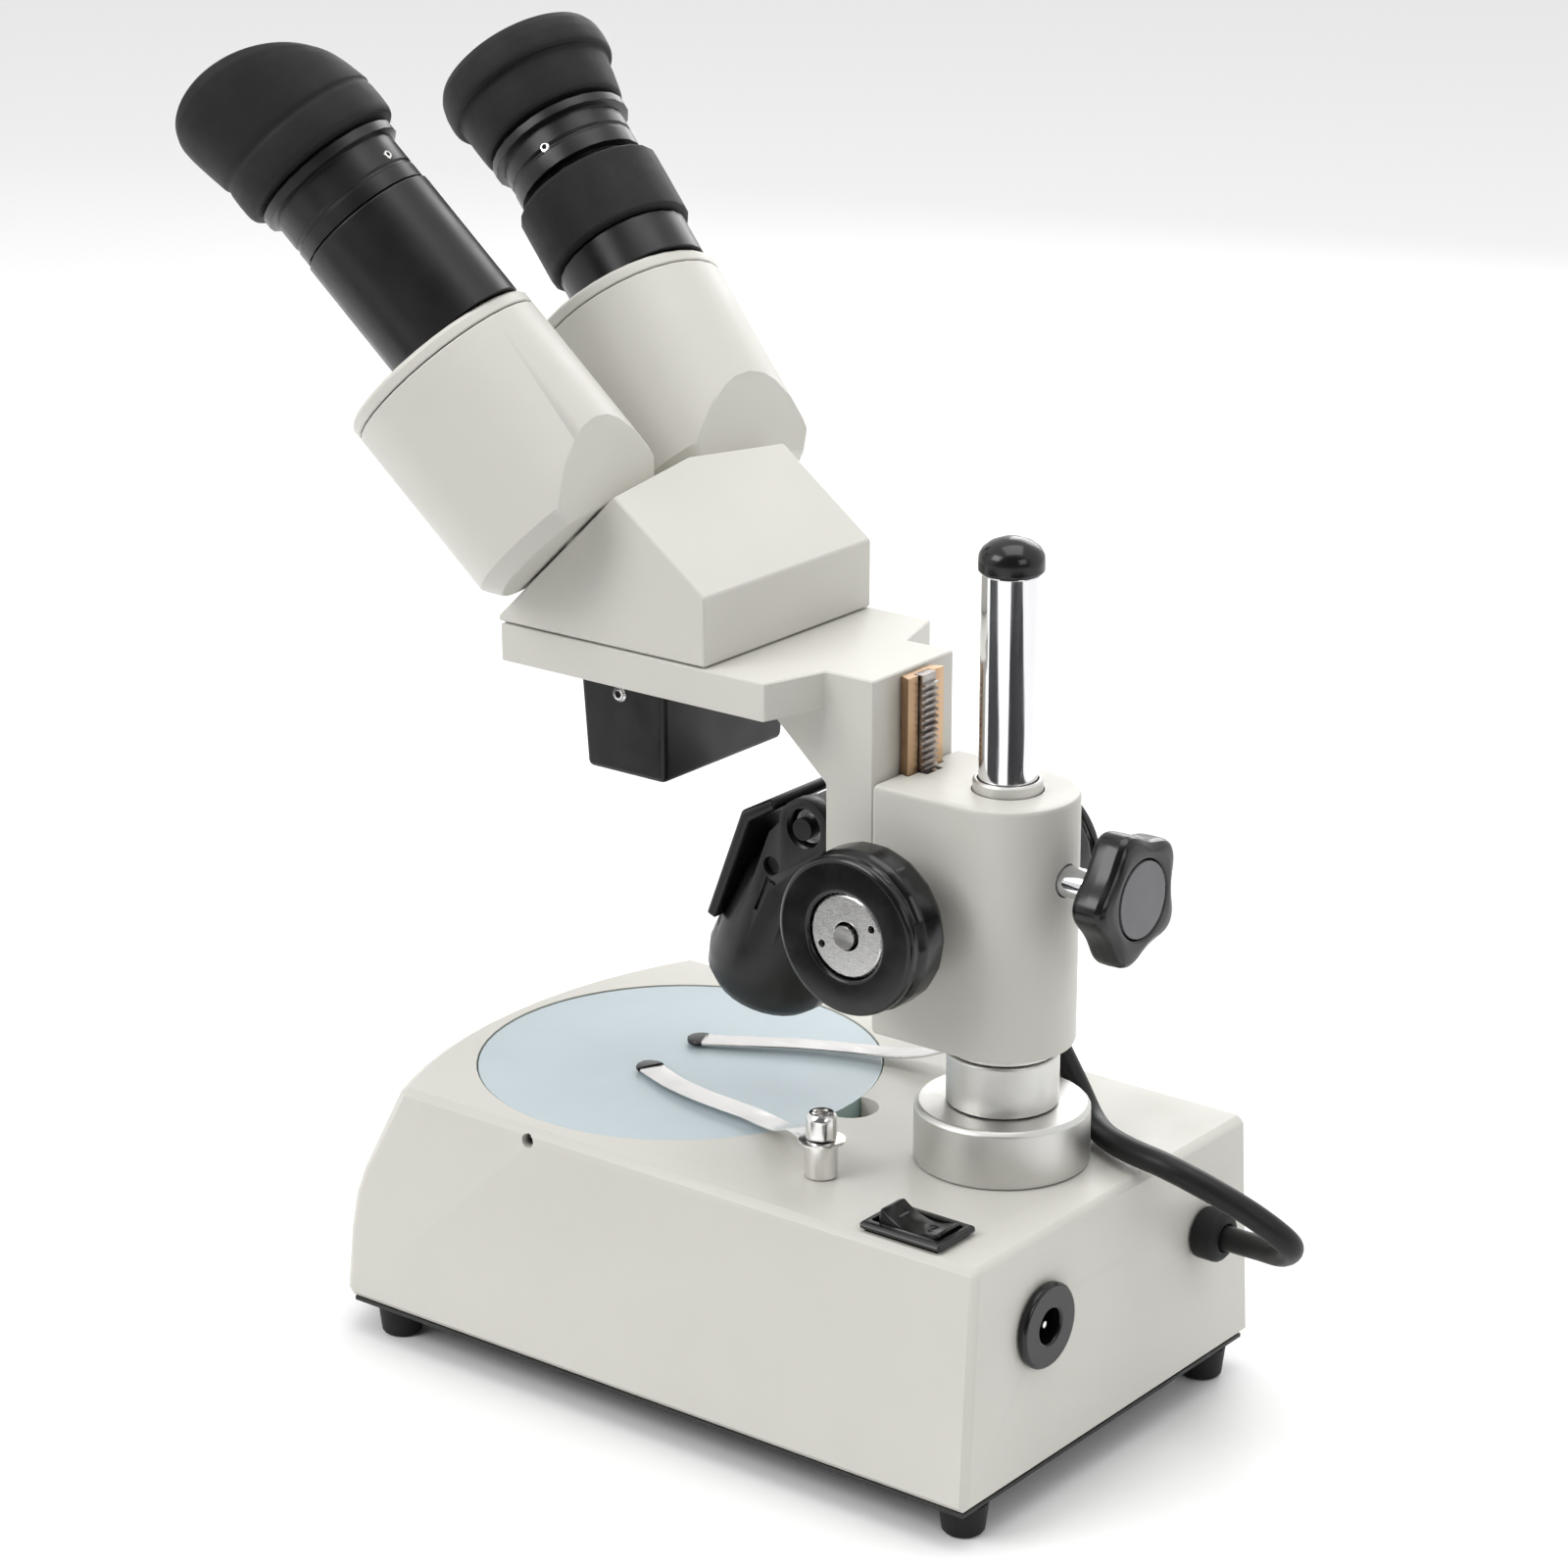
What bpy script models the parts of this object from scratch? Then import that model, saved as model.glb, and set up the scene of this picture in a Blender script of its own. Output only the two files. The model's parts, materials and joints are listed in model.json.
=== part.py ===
"""Stereo microscope on a pillar stand, with a coarse focus rack, a glass stage plate and a stage lamp.

The design frame has +Z up and z = 0 on the table, x = 0 in the mid-plane and +Y to the rear, so the
operator sits at -Y and the operator's right hand is at +X. Lengths are in millimetres, scaled by MM.
STAND then moves the design along Y so that the world origin lies under the middle of its box.
"""
import math

import bmesh
import bpy
from mathutils import Matrix, Vector

MM = 0.001
MERGE = 0.00001
GAP = 0.3
OBJECT_NAME = "stereo_microscope"
STAND = Matrix.Translation((0.0, 25.0 * MM, 0.0))
SIDES = (("right", 1), ("left", -1))

# Base: a hollow casting with drafted walls and a front that leans in above a soft knee.
BASE_LOW = 9.0
BASE_TOP = 64.75
BASE_HALF_TOP = 53.3
BASE_DRAFT = math.tan(math.radians(3.75))
BASE_REAR_TOP = 81.4
BASE_REAR_DRAFT = 0.009
BASE_FRONT_ARC = 121.0
BASE_FRONT = ((BASE_TOP, -81.0), (42.0, -92.4), (35.0, -94.9), (26.0, -96.3), (BASE_LOW, -97.2))
BASE_WALL = 3.0
BASE_CEILING = 57.5
PLATE_LOW = 7.7
PLATE_HIGH = 8.7
FOOT_SPOTS = (("front", 49.0, -87.0), ("rear", 47.5, 75.0))

# Stage: a frosted glass disc lying on a ledge, over a lamp in the base.
STAGE_Y = -41.3
STAGE_RADIUS = 47.5
STAGE_LOW = 60.0
STAGE_HIGH = 64.55
STAGE_WINDOW = 43.5

# Pillar with its flange, stop collar and cap.
PILLAR_Y = 50.5
PILLAR_RADIUS = 6.5
PILLAR_TOP = 199.5
COLLAR_LOW = 78.7
COLLAR_HIGH = 90.7

# Focus head: D-shaped in plan, flat towards the arm.
HEAD_LOW = 92.8
HEAD_TOP = 151.0
HEAD_FRONT = 25.6
HEAD_HALF = 16.0
DRIVE_Y = 33.8
DRIVE_Z = 123.6
DRIVE_HALF = 36.5
CLAMP_Z = 133.3

# Arm that carries the optics and rides on a dovetail in front of the head.
ARM_TOP = 173.9
ARM_LOW = 165.2
ARM_HALF = 30.6
ARM_FRONT = -67.5
NECK_HALF = 14.8
NECK_FRONT = 12.3
NECK_REAR = 25.2
COLUMN_LOW = 110.0
SLIDE_LOW = 98.0
SLIDE_TOP = 173.0
SLIDE_REAR = 28.5
SLIDE_NARROW = 5.2
SLIDE_WIDE = 6.6
RACK_HALF = 2.5
RACK_FLOOR = 27.3
RACK_ADDENDUM = 0.4
RACK_DEDENDUM = 0.52
RACK_MODULE = 0.5
PINION_TEETH = 16

# Optics: each eyepiece leans back by EYE_TILT from the vertical and outwards by EYE_SPREAD.
EYE_TILT = math.radians(44.0)
EYE_SPREAD = math.radians(7.5)
EYE_FOOT = (25.3, -41.5, 202.3)
POD_SHIFT = -9.0
POD_RADIUS = 24.5
POD_SEAM = 47.8
POD_TOP = 51.0
PIVOT_RADIUS = 3.7
OBJECTIVE_Y = -39.0

# Upper lamp, hung on a pivot in front of the arm's column.
LAMP_PIVOT = (0.0, 4.9, 135.5)
LAMP_TILT = math.radians(-21.1)
LAMP_AXIS_Y = -3.0

PARTS = None
CUTTERS = None


# ---------------------------------------------------------------- helpers

def clear_scene():
    for obj in list(bpy.data.objects):
        bpy.data.objects.remove(obj, do_unlink=True)


def new_collection(name):
    collection = bpy.data.collections.new(name)
    bpy.context.scene.collection.children.link(collection)
    return collection


def material(name, colour, roughness, metallic=0.0):
    made = bpy.data.materials.new(name)
    made.use_nodes = True
    shader = made.node_tree.nodes["Principled BSDF"]
    shader.inputs["Base Color"].default_value = (*colour, 1.0)
    shader.inputs["Roughness"].default_value = roughness
    shader.inputs["Metallic"].default_value = metallic
    return made


def at(x=0.0, y=0.0, z=0.0, turn=None):
    """Matrix of a frame at a point given in millimetres."""
    return Matrix.Translation(Vector((x, y, z)) * MM) @ (turn or Matrix.Identity(4))


def along_x(side=1):
    return Matrix.Rotation(side * math.pi / 2, 4, "Y")


def along_y():
    return Matrix.Rotation(-math.pi / 2, 4, "X")


def arc(centre, radius, start, end, steps):
    """Points on an arc, with the angles in degrees."""
    angles = [math.radians(start + (end - start) * step / steps) for step in range(steps + 1)]
    return [(centre[0] + radius * math.cos(a), centre[1] + radius * math.sin(a)) for a in angles]


def register(obj, paint, frame):
    """Put an object in its collection: a piece has a paint, a cutter has none."""
    obj.matrix_world = STAND @ frame
    if paint is None:
        CUTTERS.objects.link(obj)
        obj.hide_render = True
        obj.display_type = "WIRE"
    else:
        PARTS.objects.link(obj)
        obj.data.materials.clear()
        obj.data.materials.append(paint)
    return obj


def finished_mesh(bm, name):
    bmesh.ops.recalc_face_normals(bm, faces=bm.faces)
    mesh = bpy.data.meshes.new(name)
    bm.to_mesh(mesh)
    bm.free()
    return mesh


def box(name, paint, low, high, frame=None):
    """Box between two corners."""
    bm = bmesh.new()
    bmesh.ops.create_cube(bm, size=1.0)
    size = Vector(high) - Vector(low)
    middle = (Vector(high) + Vector(low)) / 2
    for vert in bm.verts:
        vert.co = Vector([(middle[i] + vert.co[i] * size[i]) * MM for i in range(3)])
    return register(bpy.data.objects.new(name, finished_mesh(bm, name)), paint, frame or at())


def turned(name, paint, profile, frame=None, steps=32, ring=False):
    """Turned solid about the frame's Z axis, from (radius, height) points down its outer side."""
    mesh = bpy.data.meshes.new(name)
    edges = [(i, i + 1) for i in range(len(profile) - 1)]
    if ring:
        edges.append((len(profile) - 1, 0))
    mesh.from_pydata([(radius * MM, 0.0, height * MM) for radius, height in profile], edges, [])
    obj = register(bpy.data.objects.new(name, mesh), paint, frame or at())
    screw = obj.modifiers.new("Turn", "SCREW")
    screw.steps = steps
    screw.render_steps = steps
    screw.use_merge_vertices = True
    screw.merge_threshold = MERGE
    return obj


def rod(name, paint, radius, low, high, frame=None, steps=32):
    profile = ((0.0, high), (radius, high), (radius, low), (0.0, low))
    return turned(name, paint, profile, frame, steps)


def flat(name, paint, outlines, low, high, frame=None):
    """Flat outline, with any further outlines as holes, between two heights of the frame."""
    curve = bpy.data.curves.new(name, "CURVE")
    curve.dimensions = "2D"
    curve.fill_mode = "BOTH"
    curve.extrude = (high - low) / 2 * MM
    for outline in outlines:
        spline = curve.splines.new("POLY")
        spline.points.add(len(outline) - 1)
        for point, (x, y) in zip(spline.points, outline):
            point.co = (x * MM, y * MM, 0.0, 1.0)
        spline.use_cyclic_u = True
    guide = bpy.data.objects.new(name, curve)
    bpy.context.scene.collection.objects.link(guide)
    mesh = bpy.data.meshes.new_from_object(guide.evaluated_get(bpy.context.evaluated_depsgraph_get()))
    bpy.data.objects.remove(guide)
    bm = bmesh.new()
    bm.from_mesh(mesh)
    bmesh.ops.remove_doubles(bm, verts=bm.verts, dist=MERGE)
    bmesh.ops.dissolve_limit(bm, angle_limit=math.radians(0.5), verts=bm.verts, edges=bm.edges)
    bmesh.ops.translate(bm, verts=bm.verts, vec=(0.0, 0.0, (low + high) / 2 * MM))
    return register(bpy.data.objects.new(name, finished_mesh(bm, name)), paint, frame or at())


def side_plate(name, paint, outline, half, frame=None):
    """Outline drawn in the frame's YZ plane, extruded across X from -half to +half."""
    turn = Matrix.Rotation(math.pi / 2, 4, "Z") @ Matrix.Rotation(math.pi / 2, 4, "X")
    return flat(name, paint, [outline], -half, half, (frame or at()) @ turn)


def loft(name, paint, sections, frame=None):
    """Closed solid through loops of points that all have the same count."""
    bm = bmesh.new()
    loops = [[bm.verts.new(Vector(point) * MM) for point in section] for section in sections]
    count = len(loops[0])
    for upper, lower in zip(loops, loops[1:]):
        for i in range(count):
            bm.faces.new((upper[i], upper[(i + 1) % count], lower[(i + 1) % count], lower[i]))
    bm.faces.new(loops[0])
    bm.faces.new(loops[-1])
    return register(bpy.data.objects.new(name, finished_mesh(bm, name)), paint, frame or at())


def combine(obj, operation, *tools):
    """One exact Boolean with all the tools, gathered in a collection of their own."""
    group = bpy.data.collections.new(f"{operation.lower()}_{tools[0].name}")
    CUTTERS.children.link(group)
    for tool in tools:
        CUTTERS.objects.unlink(tool)
        group.objects.link(tool)
    step = obj.modifiers.new(group.name, "BOOLEAN")
    step.operation = operation
    step.operand_type = "COLLECTION"
    step.collection = group
    step.solver = "EXACT"
    return obj


def cut(obj, *tools):
    return combine(obj, "DIFFERENCE", *tools)


def join(obj, *tools):
    return combine(obj, "UNION", *tools)


def round_edges(obj, width, segments=2):
    bevel = obj.modifiers.new("Edges", "BEVEL")
    bevel.width = width * MM
    bevel.segments = segments
    bevel.limit_method = "ANGLE"
    bevel.angle_limit = math.radians(35)
    return obj


def joint(name, frame, *pieces):
    """Empty on a joint's axis that carries the pieces and empties riding on it."""
    empty = bpy.data.objects.new(name, None)
    PARTS.objects.link(empty)
    empty.matrix_world = STAND @ frame
    for piece in pieces:
        piece.parent = empty
        piece.matrix_parent_inverse = (STAND @ frame).inverted()
    return empty


def eye_frame(side, shift=0.0):
    """Frame on an eyepiece's optical axis, with its origin on the prism block's sloping face."""
    lean = Matrix.Rotation(EYE_TILT, 4, "X") @ Matrix.Rotation(side * EYE_SPREAD, 4, "Y")
    return at(side * EYE_FOOT[0], EYE_FOOT[1], EYE_FOOT[2], lean) @ at(0.0, shift, 0.0)


# ---------------------------------------------------------------- base

def base_outline(z, inset=0.0):
    """Plan of the base at one height: flat rear, straight sides and an arc across the front."""
    half = BASE_HALF_TOP + (BASE_TOP - z) * BASE_DRAFT - inset
    rear = BASE_REAR_TOP + (BASE_TOP - z) * BASE_REAR_DRAFT - inset
    for (high, front_high), (low, front_low) in zip(BASE_FRONT, BASE_FRONT[1:]):
        if z >= low:
            break
    corner = front_low + (front_high - front_low) * (z - low) / (high - low) + inset
    swing = math.degrees(math.asin(half / BASE_FRONT_ARC))
    centre = (0.0, corner + BASE_FRONT_ARC * math.cos(math.radians(swing)))
    front = arc(centre, BASE_FRONT_ARC, 270 + swing, 270 - swing, 12)
    return [(-half, rear), (half, rear)] + front


def lifted(outline, z):
    return [(x, y, z) for x, y in outline]


def make_base_housing(paint):
    heights = [z for z, _ in BASE_FRONT]
    housing = loft("base_housing", paint, [lifted(base_outline(z), z) for z in heights])
    round_edges(housing, 1.6, 1)
    hollow = [lifted(base_outline(z, BASE_WALL), z) for z in (BASE_CEILING, *heights[1:])]
    hollow.append(lifted(base_outline(BASE_LOW, BASE_WALL), BASE_LOW - 2))
    rear = at(28.7, 0.0, 43.7, along_y())
    gland = at(-35.1, 0.0, 42.4, along_y())
    return cut(
        housing,
        loft("cut_base_hollow", None, hollow),
        rod("cut_stage_seat", None, STAGE_RADIUS + GAP, STAGE_LOW - GAP, 70, at(0, STAGE_Y), 64),
        rod("cut_stage_window", None, STAGE_WINDOW, 50, 62, at(0, STAGE_Y), 64),
        rod("cut_finger_notch", None, 6.5, STAGE_LOW - 1.0, 70, at(-1.5, 7.5), 24),
        box("cut_switch_hole", None, (38.4, 50.1, 50), (50.6, 69.4, 70)),
        rod("cut_inlet_hole", None, 7.3, 70, 90, rear, 32),
        rod("cut_gland_hole", None, 4.6, 70, 90, gland, 24),
        rod("cut_stage_screw_hole", None, 1.7, 44, 60, at(0.0, -42.5, 61.9, along_x()), 12),
    )


def make_stage_and_lamp(paints):
    stage = rod("stage_plate", paints["glass"], STAGE_RADIUS, STAGE_LOW, STAGE_HIGH, at(0, STAGE_Y), 64)
    dish = ((42.5, 57.2), (42.5, 56.2), (18.0, 34.0), (13.0, 34.0), (13.0, 35.0), (17.6, 35.0), (40.6, 57.2))
    turned("stage_lamp_reflector", paints["chrome"], dish, at(0, STAGE_Y), 28, ring=True)
    emitter = ((0.0, 37.5), (4.5, 36.6), (7.0, 33.7), (16.0, 33.7), (16.0, 32.1), (0.0, 32.1))
    turned("stage_lamp_board", paints["lamp"], emitter, at(0, STAGE_Y), 24)
    return stage


def make_underside(paints):
    outline = base_outline(BASE_LOW, 1.4)
    flat("bottom_plate", paints["black"], [outline], PLATE_LOW, PLATE_HIGH)
    foot = ((0.0, PLATE_LOW - GAP), (5.6, PLATE_LOW - GAP), (4.8, 0.8), (4.2, 0.0), (0.0, 0.0))
    for side_name, side in SIDES:
        for end, x, y in FOOT_SPOTS:
            turned(f"foot_{end}_{side_name}", paints["rubber"], foot, at(side * x, y), 20)


def make_switch(paints):
    x, y, pivot = 44.5, 59.75, 63.0
    low, high = (x - 7, y - 10.75, BASE_TOP + GAP), (x + 7, y + 10.75, 67.0)
    bezel = box("switch_bezel", paints["black"], low, high)
    round_edges(bezel, 0.7, 1)
    join(bezel, box("add_switch_body", None, (x - 5.8, y - 9.4, 53), (x + 5.8, y + 9.4, 66)))
    cut(bezel, box("cut_switch_well", None, (x - 4.6, y - 8.8, 56), (x + 4.6, y + 8.8, 70)))
    top = arc((0.0, 22.0), 19.0, 270 + 24.0, 270 - 24.0, 8)
    outline = [(-7.7, 0.0), (0.0, -4.2), (7.7, 0.0)] + top
    tilt = Matrix.Rotation(math.radians(-7.0), 4, "X")
    rocker = side_plate("switch_rocker", paints["black"], outline, 4.3, at(x, y, pivot, tilt))
    joint("joint_rocker", at(x, y, pivot), rocker)


def make_socket_and_gland(paints):
    mouth = (
        (0.0, 80.0), (1.0, 79.6), (1.0, 70.0), (4.0, 70.0), (4.0, 83.6), (4.4, 84.0), (9.2, 84.0),
        (9.75, 83.4), (9.75, 82.0), (7.0, 82.0), (7.0, 68.0), (0.0, 68.0),
    )
    turned("dc_socket", paints["black"], mouth, at(28.7, 0.0, 43.7, along_y()), 32)
    sleeve = ((3.3, 88.2), (4.6, 88.2), (6.0, 87.0), (6.0, 82.0), (4.3, 82.0), (4.3, 76.0), (3.3, 76.0))
    turned("cable_gland", paints["rubber"], sleeve, at(-35.1, 0.0, 42.4, along_y()), 24, ring=True)


# The lamp lead: out of the gland, back over the rear edge, past the flange and up beside the head.
LEAD_RADIUS = 2.9
LEAD_ROUTE = (
    (-35.1, 76.0, 42.4), (-35.1, 88.0, 42.4), (-33.0, 98.0, 43.6), (-28.0, 107.0, 46.5),
    (-22.5, 112.0, 52.0), (-17.5, 107.0, 58.5), (-13.5, 98.0, 64.0), (-11.0, 87.0, 68.0),
    (-12.5, 76.0, 68.6), (-16.5, 67.0, 68.4), (-21.5, 60.0, 69.2), (-24.3, 54.0, 74.5),
    (-24.0, 48.0, 84.0), (-22.3, 42.0, 95.0), (-20.0, 33.0, 103.5), (-19.0, 22.0, 106.0),
    (-16.0, 12.0, 106.0), (-12.0, 5.5, 105.4), (-8.9, 0.8, 104.6),
)


def smooth_route(points, samples):
    """Catmull-Rom curve through the points."""
    padded = [points[0], *points, points[-1]]
    route = []
    for before, start, end, after in zip(padded, padded[1:], padded[2:], padded[3:]):
        for step in range(samples):
            t = step / samples
            route.append([
                0.5 * (2 * b + (c - a) * t + (2 * a - 5 * b + 4 * c - d) * t ** 2
                       + (3 * b - a - 3 * c + d) * t ** 3)
                for a, b, c, d in zip(before, start, end, after)
            ])
    route.append(list(points[-1]))
    return route


def make_lead(paint):
    curve = bpy.data.curves.new("lamp_lead", "CURVE")
    curve.dimensions = "3D"
    curve.bevel_depth = LEAD_RADIUS * MM
    curve.bevel_resolution = 2
    curve.use_fill_caps = True
    curve.resolution_u = 1
    route = smooth_route(LEAD_ROUTE, 2)
    spline = curve.splines.new("POLY")
    spline.points.add(len(route) - 1)
    for point, place in zip(spline.points, route):
        point.co = (*[value * MM for value in place], 1.0)
    register(bpy.data.objects.new("lamp_lead", curve), paint, at())


# ---------------------------------------------------------------- stage clips

CLIP_POST = (33.1, 25.4)
CLIP_TIP = (10.8, -42.7)
CLIP_WIDTH = 8.0
CLIP_THICK = 0.8


def clip_height(t):
    """Underside of a clip from its post (t = 0) to its tip (t = 1)."""
    drop = min(max((t - 0.06) / 0.26, 0.0), 1.0)
    settle = min(max((t - 0.3) / 0.7, 0.0), 1.0)
    return 73.0 - 3.4 * (3 - 2 * drop) * drop ** 2 - 3.6 * settle


def clip_blade(name, side):
    """Sprung strip from the post to the tip, as a closed loft with square ends."""
    start = Vector((side * CLIP_POST[0], CLIP_POST[1]))
    run = Vector((side * CLIP_TIP[0], CLIP_TIP[1])) - start
    across = Vector((-run.y, run.x)).normalized()
    sections = []
    for step in range(21):
        t = step / 20
        half = CLIP_WIDTH / 2 * (1.0 if t < 0.9 else 1.0 - 4.0 * (t - 0.9))
        centre = start + run * t
        low = clip_height(t)
        left = centre + across * half
        right = centre - across * half
        high = low + CLIP_THICK
        sections.append([(*left, low), (*right, low), (*right, high), (*left, high)])
    return loft(name, None, sections)


def make_clips(paints):
    stud = ((0.0, 77.2), (1.6, 77.2), (1.6, 72.7), (3.7, 72.7), (3.7, BASE_TOP + GAP), (0.0, BASE_TOP + GAP))
    nut = ((0.0, 79.8), (2.6, 79.8), (3.5, 78.6), (3.5, 75.4), (3.0, 74.9), (3.0, 74.1), (1.9, 74.1),
           (1.9, 77.6), (0.0, 77.6))
    for side_name, side in SIDES:
        place = at(side * CLIP_POST[0], CLIP_POST[1])
        turned(f"clip_post_{side_name}", paints["steel"], stud, place, 24)
        screw = turned(f"clip_screw_{side_name}", paints["steel"], nut, place, 20)
        cut(screw, box(f"cut_clip_slot_{side_name}", None, (-0.4, -5, 78.8), (0.4, 5, 81), place))
        spring = rod(f"clip_spring_{side_name}", paints["steel"], 5.4, 73.0, 73.8, place, 28)
        join(spring, clip_blade(f"add_clip_blade_{side_name}", side))
        cut(spring, rod(f"cut_clip_eye_{side_name}", None, 1.9, 70, 76, place, 20))
        joint(f"joint_clip_{side_name}", place, spring, screw)


# ---------------------------------------------------------------- pillar and focus head

def make_pillar(paints):
    place = at(0.0, PILLAR_Y)
    bore = PILLAR_RADIUS + GAP
    low = BASE_TOP + GAP
    flange = ((18.7, 78.4), (19.7, 77.4), (19.7, low), (bore, low), (bore, 78.4))
    turned("pillar_flange", paints["satin"], flange, place, 36, ring=True)
    collar = ((12.1, COLLAR_HIGH), (12.6, COLLAR_HIGH - 0.5), (12.6, COLLAR_LOW), (bore, COLLAR_LOW),
              (bore, COLLAR_HIGH))
    turned("stop_collar", paints["satin"], collar, place, 30, ring=True)
    rod("pillar", paints["chrome"], PILLAR_RADIUS, low, PILLAR_TOP, place, 30)
    dome = [
        (7.25 * math.cos(math.radians(a)), 202.6 + 4.7 * math.sin(math.radians(a)))
        for a in (70, 50, 30, 12)
    ]
    cap = [(0.0, 207.3), *dome, (7.25, 202.0), (7.25, PILLAR_TOP + GAP), (0.0, PILLAR_TOP + GAP)]
    turned("pillar_cap", paints["black"], cap, place, 32)
    sleeve = (
        (7.3, 153.6), (7.7, 153.1), (7.7, 92.4), (12.4, 92.4), (12.4, 91.1), (bore, 91.1), (bore, 153.6),
    )
    bush = turned("height_bush", paints["satin"], sleeve, place, 30, ring=True)
    joint("joint_height", place, bush)


def slide_outline(gap):
    """Dovetail section behind the arm: narrow at the column and wide at the rear."""
    front, rear = NECK_REAR + GAP, SLIDE_REAR + gap
    narrow, wide = SLIDE_NARROW + gap, SLIDE_WIDE + gap
    return [(-narrow, front), (narrow, front), (wide, rear), (-wide, rear)]


def make_head(paint):
    plan = [(-HEAD_HALF, HEAD_FRONT), (HEAD_HALF, HEAD_FRONT)]
    plan += arc((0.0, PILLAR_Y), HEAD_HALF, 0, 180, 24)
    head = flat("head_casting", paint, [plan], HEAD_LOW, HEAD_TOP)
    round_edges(head, 1.3)
    way = [(x, y - 1 if y < HEAD_FRONT else y) for x, y in slide_outline(GAP)]
    cut(
        head,
        rod("cut_bush_bore", None, 8.0, 80, 160, at(0.0, PILLAR_Y), 40),
        flat("cut_slide_way", None, [way], 80, 160),
        box("cut_rack_channel", None, (-3.0, 27.9, 80), (3.0, 31.2, 160)),
        rod("cut_pinion_pocket", None, 5.0, -3.4, 3.4, at(0.0, DRIVE_Y, DRIVE_Z, along_x()), 24),
        rod("cut_drive_bore", None, 3.3, -20, 20, at(0.0, DRIVE_Y, DRIVE_Z, along_x()), 24),
        rod("cut_clamp_bore", None, 3.8, 55, 75, at(0.0, 0.0, CLAMP_Z, along_y()), 24),
    )


def make_clamp(paints):
    frame = at(0.0, 0.0, CLAMP_Z, along_y())
    screw = rod("clamp_screw", paints["chrome"], 3.5, 58.6, 84.0, frame, 24)
    lobes = []
    for step in range(40):
        angle = math.radians(step * 9)
        radius = 13.6 + 1.7 * math.cos(5 * (angle - math.radians(32)))
        lobes.append((radius * math.cos(angle), radius * math.sin(angle)))
    knob = flat("clamp_knob", paints["black"], [lobes], 76.6, 86.0, frame)
    round_edges(knob, 1.0, 1)
    cut(knob, rod("cut_clamp_socket", None, 3.8, 70, 84.3, frame, 24))
    cut(knob, rod("cut_clamp_face", None, 8.9, 84.9, 90, frame, 32))
    disc = rod("clamp_knob_disc", paints["grey"], 8.6, 85.2, 86.0, frame, 32)
    slide = joint("joint_clamp_screw", frame, screw)
    turn = joint("joint_clamp_knob", frame, knob, disc)
    joint("joint_clamp", frame, slide, turn)


def gear_outline(teeth, module, depth):
    """Plain straight-sided pinion teeth, thinned so that they run free in the rack."""
    pitch_radius = teeth * module / 2
    outer, root = pitch_radius + depth, pitch_radius - depth * 1.3
    points = []
    for tooth in range(teeth):
        middle = 2 * math.pi * (tooth + 0.5) / teeth
        for radius, share in ((root, -0.26), (outer, -0.11), (outer, 0.11), (root, 0.26)):
            angle = middle + share * 2 * math.pi / teeth
            points.append((radius * math.cos(angle), radius * math.sin(angle)))
    return points


def make_focus_drive(paints):
    frame = at(0.0, DRIVE_Y, DRIVE_Z, along_x())
    pieces = []
    half = DRIVE_HALF + 0.3
    profile = ((0.0, half), (2.65, half), (2.65, 24.0), (3.0, 24.0), (3.0, -24.0), (2.65, -24.0),
               (2.65, -half), (0.0, -half))
    shaft = turned("focus_shaft", paints["steel"], profile, frame, 20)
    teeth = gear_outline(PINION_TEETH, RACK_MODULE, 0.4)
    join(shaft, flat("add_pinion", None, [teeth], -2.3, 2.3, frame))
    pieces.append(shaft)
    face = DRIVE_HALF
    knob_profile = (
        (9.8, face), (16.0, face), (16.9, face - 0.6), (17.3, face - 2.2), (17.6, face - 7.0),
        (18.5, face - 8.0), (18.5, face - 11.5), (17.6, face - 12.5), (7.5, face - 12.5), (7.5, 16.5),
        (3.3, 16.5), (3.3, 24.3), (2.95, 24.3), (2.95, 34.0), (9.8, 34.0),
    )
    disc_profile = ((9.0, 35.7), (9.5, 35.3), (9.5, 34.3), (3.3, 34.3), (3.3, 35.7))
    for side_name, side in SIDES:
        turn = at(0.0, DRIVE_Y, DRIVE_Z, along_x(side))
        knob = turned(f"focus_knob_{side_name}", paints["black"], knob_profile, turn, 28, ring=True)
        disc = turned(f"knob_disc_{side_name}", paints["satin"], disc_profile, turn, 26, ring=True)
        for number, angle in enumerate((115, 295)):
            spot = turn @ at(7.3 * math.cos(math.radians(angle)), 7.3 * math.sin(math.radians(angle)))
            cut(disc, rod(f"cut_disc_hole_{side_name}_{number}", None, 0.9, 30, 40, spot, 10))
        pieces += [knob, disc]
    joint("joint_focus_drive", at(0.0, DRIVE_Y, DRIVE_Z), *pieces)


# ---------------------------------------------------------------- arm and optics

def make_arm(paint):
    plan = [
        (-ARM_HALF, ARM_FRONT), (ARM_HALF, ARM_FRONT), (ARM_HALF, 7.5), (NECK_HALF, NECK_FRONT),
        (NECK_HALF, NECK_REAR), (-NECK_HALF, NECK_REAR), (-NECK_HALF, NECK_FRONT), (-ARM_HALF, 7.5),
    ]
    arm = flat("arm_casting", paint, [plan], ARM_LOW, ARM_TOP)
    column = [
        (NECK_FRONT, COLUMN_LOW), (NECK_REAR, COLUMN_LOW), (NECK_REAR, ARM_LOW + 2),
        (-7.0, ARM_LOW + 2), (-7.0, ARM_LOW), (NECK_FRONT, 148.0),
    ]
    join(arm, side_plate("add_column", None, column, NECK_HALF))
    for side_name, side in SIDES:
        cut(arm, rod(f"cut_arm_window_{side_name}", None, 8.4, 150, 180, at(side * 10.6, OBJECTIVE_Y), 24))
    round_edges(arm, 0.7, 1)


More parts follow.
